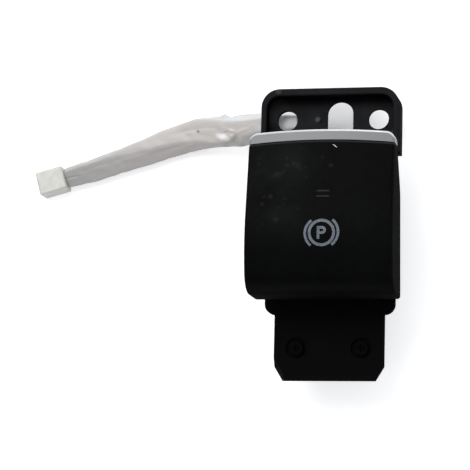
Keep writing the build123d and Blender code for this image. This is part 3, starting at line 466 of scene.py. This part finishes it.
def new_effect(name, takes, gives):
    """An empty shader node group: (group, its inputs inside, its outputs inside)."""
    group = bpy.data.node_groups.new(name, "ShaderNodeTree")
    for label, kind in takes.items():
        group.interface.new_socket(label, in_out="INPUT", socket_type="NodeSocket" + kind)
    for label in gives:
        group.interface.new_socket(label, in_out="OUTPUT", socket_type="NodeSocketFloat")
    inner = group.nodes.new("NodeGroupInput").outputs
    outer = group.nodes.new("NodeGroupOutput").inputs
    return group, inner, outer


def speck_effect():
    """A round speck: the mask is 1 within a third of the radius round the centre and 0 outside it."""
    group, inner, outer = new_effect(
        "speck", {"Place": "Vector", "Centre": "Vector", "Radius": "Float"}, ["Mask"]
    )
    away = add(group, "VectorMath", {0: inner["Place"], 1: inner["Centre"]}, operation="DISTANCE")
    part = maths(group, "DIVIDE", away.outputs["Value"], inner["Radius"])
    group.links.new(share(group, part, 1.0, 0.33), outer["Mask"])
    return group


speck = speck_effect()


def speck_mask(tree, place, centre, radius):
    """The speck effect at a centre and radius in mm."""
    feeds = {"Place": place, "Centre": [c * MM for c in centre], "Radius": radius * MM}
    return add(tree, "Group", feeds, node_tree=speck).outputs["Mask"]


# Marks on the film: place and radius in mm, strength and colour. The first four are painted
# highlights on the fold's crests. Then come two patches of painted shade in the fold, a darker
# yellowish patch seen through the tray's left hole and a dark speck.
film_light_shade_and_marks = [
    (-47.5, 41.6, 10.9, 1.8, 0.45, (0.80, 0.80, 0.79)),
    (-45.7, 40.9, 11.7, 2.3, 0.75, (0.84, 0.84, 0.83)),
    (-43.9, 40.2, 12.0, 1.8, 0.60, (0.82, 0.82, 0.80)),
    (-41.7, 42.0, 13.1, 1.6, 0.60, (0.80, 0.79, 0.72)),
    (-40.2, 39.6, 12.3, 2.6, 0.45, (0.34, 0.34, 0.28)),
    (-38.6, 38.4, 12.2, 2.8, 0.45, (0.36, 0.38, 0.32)),
    (-19.3, 47.9, 19.0, 2.4, 0.40, (0.46, 0.43, 0.32)),
    (-56.2, 44.1, 8.5, 0.85, 0.80, (0.10, 0.09, 0.09)),
]


def film_finish():
    """White film: pinkish where it is thick, painted lighter and bluish at its folded edge as a
    highlight, and painted greyer further off as shade. Under the tray it is painted near white
    against its shade.

    The UV map's X is the place along the sleeve in tenths of a metre, and its Y goes once round
    from the lip's side over the top. A pair of values is where a change starts and where it is full.
    """
    pinkish = (0.545, 0.512, 0.485)
    bluish = (0.59, 0.60, 0.61)
    greyer = (0.405, 0.395, 0.380)
    painted_light_white = (0.90, 0.91, 0.92)
    clouded = (0.50, 0.49, 0.45)
    far_shade = (0.45, 1.0)
    edge_width = (0.16, 0.10)
    highlight_stretch = (0.42, 0.24)
    painted_light_stretch = (0.15, 0.06)
    material, tree, shader = new_finish("sleeve_film", roughness=0.46, specular=0.5)
    place = coordinates(tree)
    uv = coordinates(tree, "UV")
    along = axis(tree, uv, "X")
    # Painted shade: the film is painted greyer from 45 mm along to the far end.
    colour = mixed(tree, share(tree, along, *far_shade), pinkish, greyer)
    # Painted highlight: the folded edge on the lip's side, which faces the light, is painted lighter
    # and bluish, fading out between 24 and 42 mm along.
    edge = share(tree, axis(tree, uv, "Y"), *edge_width)
    bright = share(tree, along, *highlight_stretch)
    colour = mixed(tree, times(tree, edge, bright), colour, bluish)
    # Painted light: the sleeve under the tray, which lies in its shade, is painted near white over
    # its first 6 mm and fades back to its own colour by 15 mm.
    colour = mixed(tree, share(tree, along, *painted_light_stretch), colour, painted_light_white)
    cloud = noise(tree, place, 6 * MM, detail=3)
    colour = mixed(tree, share(tree, cloud, 0.55, 0.90), colour, clouded)
    # Painted highlights and shade on the fold, then a patch and a speck, as listed above.
    for x, y, z, radius, strength, tint in film_light_shade_and_marks:
        mask = speck_mask(tree, place, (x, y, z), radius)
        colour = mixed(tree, times(tree, mask, strength), colour, tint)
    fine = noise(tree, stretched(tree, uv, (22, 14, 1)), 1.0, detail=3)
    pores = noise(tree, place, 0.25 * MM)
    height = maths(tree, "MULTIPLY_ADD", pores, 0.12, fine)
    roughness = between(tree, cloud, 0.40, 0.54)
    normal = relief(tree, height, 0.22 * MM)
    feed(tree, shader, Base_Color=colour, Roughness=roughness, Normal=normal)
    shader.inputs["Sheen Weight"].default_value = 0.05
    return material


def put(name, mesh, material, body):
    """A piece with that mesh and material, on a body."""
    mesh.materials.append(material)
    piece = bpy.data.objects.new(name, mesh)
    scene.collection.objects.link(piece)
    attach(piece, body)
    return piece


sleeve_mesh, sleeve_line, sleeve_length = sleeve()
sleeve_piece = put("sleeve", sleeve_mesh, film_finish(), "base")
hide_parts("lead")


# Plug
# A small natural nylon connector with four tinned contacts in its mouth, pushed on the wires' ends.
# The moulding is milky with a faint flow pattern, and the contacts are folded from tinned strip.
def grain_effect():
    """Moulded grain: fine pits as a height, and blotches 14 times as wide in the gloss as a mask."""
    group, inner, outer = new_effect(
        "moulded_grain", {"Place": "Vector", "Size": "Float"}, ["Height", "Blotch"]
    )
    scale = maths(group, "DIVIDE", 1.0, inner["Size"])
    fine = add(group, "TexNoise", {"Vector": inner["Place"], "Scale": scale, "Detail": 2.0})
    wide = maths(group, "DIVIDE", scale, 14.0)
    slow = add(group, "TexNoise", {"Vector": inner["Place"], "Scale": wide, "Detail": 4.0})
    group.links.new(fine.outputs[0], outer["Height"])
    group.links.new(share(group, slow.outputs[0], 0.35, 0.70), outer["Blotch"])
    return group


moulded_grain = grain_effect()


def dress(material, *names):
    """Puts a material in every material slot of those nodes of the frame."""
    for name in names:
        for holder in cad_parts[name].material_slots:
            holder.material = material


def moulded_finish(name, dark, light, roughness, specular, size=0.30 * MM, depth=0.02 * MM):
    """A moulded plastic or rubber between two close colours, with pits of that size and depth."""
    material, tree, shader = new_finish(name, roughness, specular)
    grain = add(tree, "Group", {"Place": coordinates(tree), "Size": size}, node_tree=moulded_grain)
    blotch = grain.outputs["Blotch"]
    feed(
        tree,
        shader,
        Base_Color=mixed(tree, blotch, dark, light),
        Roughness=between(tree, blotch, roughness - 0.05, roughness + 0.06),
        Normal=relief(tree, grain.outputs["Height"], depth),
    )
    return material


def metal_finish(name, dark, light, roughness, size=0.5 * MM, stretch=(1, 1, 1)):
    """A plated or drawn metal between two close colours, with fine marks stretched one way."""
    material, tree, shader = new_finish(name, roughness, specular=0.5, metallic=1.0)
    marks = noise(tree, stretched(tree, coordinates(tree), stretch), size, detail=4)
    feed(
        tree,
        shader,
        Base_Color=mixed(tree, marks, dark, light),
        Roughness=between(tree, marks, roughness - 0.08, roughness + 0.12),
        Normal=relief(tree, marks, 0.01 * MM),
    )
    return material


nylon = moulded_finish(
    "natural_nylon",
    dark=(0.56, 0.55, 0.50),
    light=(0.66, 0.65, 0.61),
    roughness=0.42,
    specular=0.5,
)
tinned = metal_finish(
    "tinned_strip",
    dark=(0.50, 0.49, 0.46),
    light=(0.68, 0.67, 0.64),
    roughness=0.32,
)
dress(nylon, "lead_plug")
dress(tinned, "plug_contacts")


# Grommet, stops and inner wires
# A soft black rubber ring clipped in the bay's wall and the rubber stops under the paddle, matt with
# a bloom on them. The bundle of grey wires inside the bay has smooth insulation.
rubber = moulded_finish(
    "black_rubber",
    dark=(0.012, 0.012, 0.012),
    light=(0.022, 0.022, 0.023),
    roughness=0.75,
    specular=0.3,
)
insulation = moulded_finish(
    "wire_insulation",
    dark=(0.17, 0.17, 0.18),
    light=(0.24, 0.24, 0.25),
    roughness=0.4,
    specular=0.5,
)
dress(rubber, "lead_grommet", "stop_pads")
dress(insulation, "inner_wires")


# Mounting frame
# One black moulding: the tray with its screw holes and slot, the plate under the paddle, the collar
# and the tongue. Its grain is fine, and grey dust has settled on the tray's floor. Painted shade
# darkens the floor towards the far wall, and the rim's top and a few spots carry painted sheen,
# glints and light.
def dust_effect():
    """Settled dust: small specks in a share of the cells, and a haze 9 times as wide."""
    group, inner, outer = new_effect(
        "settled_dust", {"Place": "Vector", "Size": "Float", "Share": "Float"}, ["Specks", "Haze"]
    )
    scale = maths(group, "DIVIDE", 1.0, inner["Size"])
    cells = add(group, "TexVoronoi", {"Vector": inner["Place"], "Scale": scale})
    chance = add(group, "SeparateColor", {0: cells.outputs["Color"]}).outputs[0]
    kept = maths(group, "LESS_THAN", chance, inner["Share"])
    near = share(group, cells.outputs["Distance"], 0.36, 0.0)
    wide = maths(group, "DIVIDE", scale, 9.0)
    haze = add(group, "TexNoise", {"Vector": inner["Place"], "Scale": wide, "Detail": 5.0})
    group.links.new(times(group, kept, near), outer["Specks"])
    group.links.new(share(group, haze.outputs[0], 0.40, 0.78), outer["Haze"])
    return group


settled_dust = dust_effect()


def upright(tree, start, full):
    """How nearly upright the surface is, from the upward part of its normal.

    The mask is 0 where that part is start or more, and 1 where it is full or less.
    """
    rise = maths(tree, "ABSOLUTE", axis(tree, coordinates(tree, "Normal"), "Z"))
    return share(tree, rise, start, full)


# Painted glints and light in the tray and on its rim: place and radius in mm, and strength. The first
# two are glints by the floor's pips, the third a light spot near the trim's right corner, the fourth
# a glint on the rim's corner, and the last two painted light where the left wall's shadow falls on
# the floor.
tray_glints_and_light = [
    (-5.8, 44.4, 24.7, 1.4, 1.0),
    (24.7, 40.9, 25.4, 1.3, 0.35),
    (23.2, 39.1, 25.0, 1.2, 0.45),
    (-19.7, 54.0, 32.0, 1.6, 0.30),
    (-20.5, 50.5, 24.6, 4.5, 0.10),
    (-24.0, 45.5, 24.6, 4.5, 0.22),
]


def frame_finish():
    """Black moulding, nearly black on the tongue, with a haze of grey dust on the tray's floor that
    fades out as painted shade towards the far wall. The rim's top is lighter with dust and painted
    sheen, and painted glints and light spots sit in the tray.
    """
    tray_start = 22 * MM
    tray_full = 34 * MM
    floor_dust_top = 26.2 * MM
    floor_dust_end = 27.4 * MM
    rim_start = 30.4 * MM
    rim_top = 32 * MM
    wall_shade_start = 48 * MM
    wall_shade_full = 53 * MM
    rim_dust_and_sheen = 0.72
    black = (0.0007, 0.0007, 0.0008)
    lighter_black = (0.0014, 0.0014, 0.0017)
    dust_grey = (0.0210, 0.0214, 0.0232)
    speck_grey = (0.045, 0.044, 0.042)
    glint_grey = (0.090, 0.092, 0.090)
    material, tree, shader = new_finish("frame_moulding", roughness=0.6, specular=0.035)
    place = coordinates(tree)
    forwards = axis(tree, place, "Y")
    height = axis(tree, place, "Z")
    grain = add(tree, "Group", {"Place": place, "Size": 0.32 * MM}, node_tree=moulded_grain)
    dust_feeds = {"Place": place, "Size": 0.9 * MM, "Share": 0.35}
    dust = add(tree, "Group", dust_feeds, node_tree=settled_dust)
    in_tray = share(tree, forwards, tray_start, tray_full)
    # Painted shade: the floor's dust fades out towards the tray's far wall, where shade falls.
    out_of_wall_shade = share(tree, forwards, wall_shade_full, wall_shade_start)
    on_floor = times(tree, share(tree, height, floor_dust_end, floor_dust_top), out_of_wall_shade)
    # The rim's top takes the dust colour too, partly as dust and partly as a painted sheen where it
    # catches the light.
    on_rim = times(tree, share(tree, height, rim_start, rim_top), rim_dust_and_sheen)
    dust_and_rim_sheen = times(tree, in_tray, maths(tree, "MAXIMUM", on_floor, on_rim))
    veil = maths(tree, "MULTIPLY_ADD", dust.outputs["Haze"], 0.35, 0.65)
    colour = mixed(tree, grain.outputs["Blotch"], black, lighter_black)
    colour = mixed(tree, times(tree, dust_and_rim_sheen, veil), colour, dust_grey)
    specks = times(tree, dust.outputs["Specks"], dust_and_rim_sheen)
    colour = mixed(tree, times(tree, specks, 0.22), colour, speck_grey)
    # Painted glints and light spots, from the list above.
    for x, y, z, radius, strength in tray_glints_and_light:
        mask = speck_mask(tree, place, (x, y, z), radius)
        colour = mixed(tree, times(tree, mask, strength), colour, glint_grey)
    roughness = between(tree, grain.outputs["Blotch"], 0.54, 0.66)
    feed(
        tree,
        shader,
        Base_Color=colour,
        Roughness=between(tree, upright(tree, start=0.55, full=0.25), roughness, 1.0),
        Normal=relief(tree, grain.outputs["Height"], 0.035 * MM),
    )
    return material


dress(frame_finish(), "mounting_frame")


# Switch housing, its bottom cover and the paddle's carrier
# Dark grey mouldings. The housing holds the board under the frame, its cover snaps on from below,
# and the carrier turns on the pin and is screwed into the paddle. All are smoother than the frame.
inner_plastic = moulded_finish(
    "inner_moulding",
    dark=(0.010, 0.010, 0.011),
    light=(0.016, 0.016, 0.018),
    roughness=0.5,
    specular=0.3,
    size=0.4 * MM,
)
dress(inner_plastic, "switch_housing", "housing_cover", "paddle_carrier")


# Circuit board and what is soldered on it
# Green solder mask over copper tracks, with two small lamps under the light guide, black chips and
# a socket for the wires.
def board_finish():
    """Solder mask: tracks are the lighter, raised crests of a sine of the distance to cell points."""
    cell_size = 6 * MM
    track_pitch = 0.808 * MM
    material, tree, shader = new_finish("solder_mask", roughness=0.28, specular=0.5)
    place = coordinates(tree)
    feeds = {"Vector": place, "Scale": 1 / cell_size, "Randomness": 0.9}
    cells = add(tree, "TexVoronoi", feeds, distance="MANHATTAN")
    phase = times(tree, cells.outputs["Distance"], cell_size * 2 * math.pi / track_pitch)
    tracks = share(tree, maths(tree, "SINE", phase), 0.35, 0.55)
    fine = noise(tree, place, 0.3 * MM)
    colour = mixed(tree, tracks, (0.012, 0.085, 0.035), (0.030, 0.160, 0.065))
    colour = mixed(tree, times(tree, fine, 0.3), colour, (0.02, 0.12, 0.06))
    feed(tree, shader, Base_Color=colour, Normal=relief(tree, tracks, 0.03 * MM))
    return material


chip_resin = moulded_finish(
    "chip_resin",
    dark=(0.012, 0.012, 0.013),
    light=(0.020, 0.020, 0.021),
    roughness=0.6,
    specular=0.35,
    size=0.15 * MM,
)
dress(board_finish(), "circuit_board")
dress(chip_resin, "board_chips")
dress(nylon, "board_header")


def away_from(tree, place, letter, middle):
    """How far a place is from a middle along one axis, in metres."""
    return maths(tree, "ABSOLUTE", maths(tree, "SUBTRACT", axis(tree, place, letter), middle))


def lamp_finish():
    """A small lamp: a milky body with a yellow patch of phosphor in its middle."""
    material, tree, shader = new_finish("lamp_body", roughness=0.35, specular=0.5)
    low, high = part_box("status_leds")
    place = coordinates(tree)
    patch = share(tree, away_from(tree, place, "X", (low.x + high.x) / 2), 1.2 * MM, 0.8 * MM)
    fine = noise(tree, place, 0.4 * MM)
    colour = mixed(tree, times(tree, patch, fine), (0.72, 0.72, 0.66), (0.75, 0.60, 0.16))
    feed(tree, shader, Base_Color=colour, Normal=relief(tree, fine, 0.01 * MM))
    return material


dress(lamp_finish(), "status_leds")


# Microswitches, plungers and springs
# Four small switches on the board, each worked by a white acetal plunger that runs in a tube and is
# pushed back up by a spring of drawn wire.
corners = [f"{end}_{side}" for end in ("front", "rear") for side in ("left", "right")]
switch_case = moulded_finish(
    "switch_case",
    dark=(0.045, 0.046, 0.050),
    light=(0.070, 0.071, 0.077),
    roughness=0.5,
    specular=0.4,
)
acetal = moulded_finish(
    "white_acetal",
    dark=(0.50, 0.50, 0.48),
    light=(0.58, 0.58, 0.56),
    roughness=0.40,
    specular=0.4,
)
drawn_wire = metal_finish(
    "drawn_wire",
    dark=(0.40, 0.40, 0.41),
    light=(0.58, 0.58, 0.60),
    roughness=0.3,
    size=0.2 * MM,
)
dress(switch_case, *[f"microswitch_{corner}" for corner in corners])
dress(acetal, *[f"plunger_{corner}" for corner in corners])


def coil(corner):
    """A spring's own shape: its node's mesh with doubled points merged, in drawn wire.
    """
    same_point = 0.001 * MM
    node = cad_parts[f"plunger_spring_{corner}"]
    merged = bmesh.new()
    merged.from_mesh(node.data)
    bmesh.ops.remove_doubles(merged, verts=merged.verts, dist=same_point)
    mesh = bpy.data.meshes.new(f"coil_{corner}")
    merged.to_mesh(mesh)
    merged.free()
    mesh.transform(node.matrix_world)
    mesh.materials.append(drawn_wire)
    piece = bpy.data.objects.new(f"coil_{corner}", mesh)
    scene.collection.objects.link(piece)
    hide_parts(node.name)
    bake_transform(piece)


for corner in corners:
    coil(corner)


# Hinge pin and screws
# A ground steel pin and zinc plated cross head screws. The two in the tongue are blackened.
zinc = metal_finish(
    "zinc_plate",
    dark=(0.42, 0.42, 0.43),
    light=(0.60, 0.60, 0.61),
    roughness=0.34,
    size=0.8 * MM,
)
ground_steel = metal_finish(
    "ground_steel",
    dark=(0.44, 0.44, 0.45),
    light=(0.60, 0.60, 0.61),
    roughness=0.25,
    size=0.3 * MM,
    stretch=(0.1, 1, 1),
)
black_oxide = metal_finish(
    "black_oxide",
    dark=(0.002, 0.002, 0.0022),
    light=(0.005, 0.005, 0.0055),
    roughness=0.6,
)
dress(zinc, "deck_screws", "board_screws", "carrier_screws")
dress(ground_steel, "hinge_pin")
dress(black_oxide, "tongue_screws")


# Light guide, lens and symbol
# Clear moulding carries the lamps' light up to a smoked lens and to the milky symbol in the cover.
def guide_finish():
    """Clear plastic with a faint flow pattern in its surface."""
    material, tree, shader = new_finish("clear_guide", roughness=0.12, specular=0.5)
    shader.inputs["Transmission Weight"].default_value = 0.85
    shader.inputs["IOR"].default_value = 1.49
    flow = noise(tree, coordinates(tree), 2.5 * MM, detail=3)
    feed(
        tree,
        shader,
        Base_Color=mixed(tree, flow, (0.80, 0.82, 0.83), (0.90, 0.91, 0.92)),
        Roughness=between(tree, flow, 0.06, 0.18),
        Normal=relief(tree, flow, 0.05 * MM),
    )
    return material


def lens_finish():
    """Dark smoked plastic with painted highlights as grey lines along its two long edges."""
    line_start = 0.75 * MM
    line_full = 0.35 * MM
    smoked = (0.0013, 0.0014, 0.0016)
    edge_highlight_grey = (0.032, 0.033, 0.032)
    material, tree, shader = new_finish("smoked_lens", roughness=0.5, specular=0.03)
    place = coordinates(tree)
    low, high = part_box("indicator_lens")
    middle = (low + high) / 2
    half = (high - low) / 2
    # Painted highlights: grey lines along the lens's two long edges, broken up by noise.
    y_away = away_from(tree, place, "Y", middle.y)
    edge = share(tree, y_away, half.y - line_start, half.y - line_full)
    inside = share(tree, away_from(tree, place, "X", middle.x), half.x, half.x * 0.55)
    highlight_breaks = between(tree, noise(tree, place, 0.8 * MM), 0.35, 1.0)
    lines = times(tree, times(tree, edge, inside), highlight_breaks)
    normal = relief(tree, noise(tree, place, 0.5 * MM), 0.01 * MM)
    feed(tree, shader, Base_Color=mixed(tree, lines, smoked, edge_highlight_grey), Normal=normal)
    return material


def symbol_finish():
    """Bluish milky inlay, mottled where the black round it has bled over its edges."""
    material, tree, shader = new_finish("milky_inlay", roughness=0.5, specular=0.3)
    place = coordinates(tree)
    mottle = noise(tree, place, 0.45 * MM, detail=3)
    bled = share(tree, mottle, 0.38, 0.72)
    colour = mixed(tree, bled, (0.140, 0.160, 0.186), (0.050, 0.062, 0.074))
    feed(tree, shader, Base_Color=colour, Normal=relief(tree, mottle, 0.02 * MM))
    return material


dress(guide_finish(), "light_guide")
dress(lens_finish(), "indicator_lens")
dress(symbol_finish(), "parking_symbol")


# Grip panel
# A dark panel that closes the paddle's mouth behind the fingers, moulded with a coarser grain.
grip_plastic = moulded_finish(
    "grip_moulding",
    dark=(0.0045, 0.0046, 0.0050),
    light=(0.0075, 0.0077, 0.0082),
    roughness=0.55,
    specular=0.25,
    size=0.6 * MM,
    depth=0.05 * MM,
)
dress(grip_plastic, "grip_panel")


# Paddle cover
# The soft black shell that the fingers pull up, semi matt, with a grey haze, partly dust and partly
# painted sheen, and settled dust over its left upper part. A short white fibre is caught on it just
# behind the trim.
haze_and_sheen_middle = (-16.5, 15.0, 52.5)
haze_and_sheen_radius = 26.0

# Larger specks on the cover: place and radius in mm
cover_specks = [
    (-12.2, 21.7, 50.9, 1.1),
    (-9.5, 22.4, 51.0, 1.3),
    (-8.1, 21.7, 51.1, 1.5),
    (-15.6, 18.1, 51.2, 1.9),
    (-17.9, 9.9, 52.1, 1.3),
    (-12.3, 24.7, 50.5, 1.0),
    (1.0, 24.4, 50.9, 0.9),
    (4.3, 21.3, 51.2, 1.2),
    (-15.5, 1.0, 53.4, 1.5),
    (-13.6, 19.2, 51.1, 1.3),
    (-21.0, 7.1, 52.2, 1.1),
]

# The cover's edge behind the trim: where it crosses the middle, the radius that it bows with, and
# how far short of the edge the painted highlight along it starts and is full
lip_edge = 31.05 * MM
lip_bow_radius = 338.1 * MM
lip_highlight_start = 0.80 * MM
lip_highlight_full = 0.35 * MM


def cover_finish():
    """Black shell with its haze, partly dust and partly painted sheen, thickest round one place at
    the left, a few larger specks and a painted highlight along its edge behind the trim.
    """
    black = (0.0011, 0.0012, 0.0013)
    lighter_black = (0.0017, 0.0018, 0.0021)
    haze_and_sheen_grey = (0.0078, 0.0088, 0.0079)
    dust_grey = (0.030, 0.030, 0.028)
    speck_grey = (0.038, 0.038, 0.037)
    lip_highlight_grey = (0.022, 0.022, 0.023)
    material, tree, shader = new_finish("cover_shell", roughness=0.52, specular=0.03)
    place = coordinates(tree)
    grain = add(tree, "Group", {"Place": place, "Size": 0.22 * MM}, node_tree=moulded_grain)
    dust_feeds = {"Place": place, "Size": 2.6 * MM, "Share": 0.25}
    dust = add(tree, "Group", dust_feeds, node_tree=settled_dust)
    # The haze is partly dust and partly a painted sheen over the upper left, where the cover faces
    # the key lamp.
    haze_and_sheen = speck_mask(tree, place, haze_and_sheen_middle, haze_and_sheen_radius)
    veil = times(tree, dust.outputs["Haze"], between(tree, haze_and_sheen, 0.12, 1.0))
    colour = mixed(tree, grain.outputs["Blotch"], black, lighter_black)
    colour = mixed(tree, veil, colour, haze_and_sheen_grey)
    scattered = times(tree, dust.outputs["Specks"], haze_and_sheen)
    colour = mixed(tree, times(tree, scattered, 0.2), colour, dust_grey)
    ragged = share(tree, noise(tree, place, 1.1 * MM, detail=3), 0.28, 0.66)
    for x, y, z, radius in cover_specks:
        mask = times(tree, speck_mask(tree, place, (x, y, z), radius), ragged)
        colour = mixed(tree, times(tree, mask, 0.26), colour, speck_grey)
    # Painted highlight: a lighter line along the cover's rounded edge behind the trim, where it
    # catches the light.
    bow_middle = (0, lip_edge - lip_bow_radius, 0)
    level = stretched(tree, place, (1, 1, 0))
    out = add(tree, "VectorMath", {0: level, 1: bow_middle}, operation="DISTANCE").outputs["Value"]
    edge = share(tree, out, lip_bow_radius - lip_highlight_start, lip_bow_radius - lip_highlight_full)
    colour = mixed(tree, edge, colour, lip_highlight_grey)
    roughness = between(tree, veil, 0.50, 0.60)
    feed(
        tree,
        shader,
        Base_Color=colour,
        Roughness=between(tree, upright(tree, start=0.80, full=0.10), roughness, 1.0),
        Normal=relief(tree, grain.outputs["Height"], 0.012 * MM),
    )
    return material


def top_height(node, x, y):
    """The height of a node's upper surface over x and y."""
    above = Vector((x, y, 1.0))
    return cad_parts[node].ray_cast(above, Vector((0, 0, -1)))[1].z


def fibre():
    """A flat bent thread: an oval section that swells as sin(pi u)^0.5 along a bowed line.

    The line lies on the cover at its ends, and lifts off it as sin(pi u)^2 in between.
    """
    start = Vector((4.6, 29.4, 0)) * MM
    end = Vector((6.25, 28.1, 0)) * MM
    bow = 0.12 * MM
    half_width = 0.16 * MM
    half_height = 0.14 * MM
    lift = 1.2 * half_height
    u = np.linspace(0, 1, 28)
    way = np.array(end - start)
    sideways = np.array((-way[1], way[0], 0)) / np.linalg.norm(way)
    line = np.array(start) + u[:, None] * way + sideways * (bow * np.sin(np.pi * u))[:, None]
    line[:, 2] = [top_height("paddle_cover", x, y) for x, y, _ in line]
    line[:, 2] += half_height + lift * np.sin(np.pi * u) ** 2
    side, over = line_frame(line)
    t = np.linspace(0, 2 * np.pi, 14, endpoint=False)
    swell = np.sqrt(np.sin(np.pi * np.clip(u, 0.02, 0.98)))[:, None]
    points = (
        line[:, None]
        + side[:, None] * (half_width * swell * np.cos(t))[..., None]
        + over[:, None] * (half_height * swell * np.sin(t))[..., None]
    )
    return grid_mesh("fibre", points)


fibre_white = moulded_finish(
    "white_fibre",
    dark=(0.55, 0.55, 0.54),
    light=(0.75, 0.75, 0.74),
    roughness=0.7,
    specular=0.3,
    size=0.1 * MM,
)
dress(cover_finish(), "paddle_cover")
put("fibre", fibre(), fibre_white, "paddle")


# Front trim
# The bright lip that the fingers hook under: moulded plastic with a satin metallic coat, fixed to
# the cover by tabs. Fine marks run along it, and where its rounded edge faces forwards it is
# glossier and has a painted highlight.
def trim_finish():
    """Satin coat with fine marks along X, glossier and with a painted highlight where the edge rounds
    forwards.
    """
    dark_satin = (0.180, 0.182, 0.184)
    light_satin = (0.228, 0.230, 0.231)
    bright = (0.60, 0.61, 0.61)
    material, tree, shader = new_finish("satin_coat", roughness=0.45, specular=0.25, metallic=0.15)
    place = coordinates(tree)
    marks = noise(tree, stretched(tree, place, (0.06, 1, 1)), 0.35 * MM, detail=4)
    flake = noise(tree, place, 0.12 * MM)
    tone = maths(tree, "MULTIPLY_ADD", flake, 0.35, times(tree, marks, 0.65))
    forwards = axis(tree, coordinates(tree, "Normal"), "Y")
    rounding = share(tree, forwards, 0.17, 0.40)
    # Painted highlight, which is also glossier: lighter where the rounded edge faces forwards.
    highlight_and_gloss = times(tree, rounding, share(tree, forwards, 0.99, 0.85))
    satin = mixed(tree, tone, dark_satin, light_satin)
    feed(
        tree,
        shader,
        Base_Color=mixed(tree, highlight_and_gloss, satin, bright),
        Roughness=between(tree, highlight_and_gloss, between(tree, tone, 0.38, 0.50), 0.26),
        Normal=relief(tree, tone, 0.012 * MM),
    )
    return material


dress(trim_finish(), "front_trim")
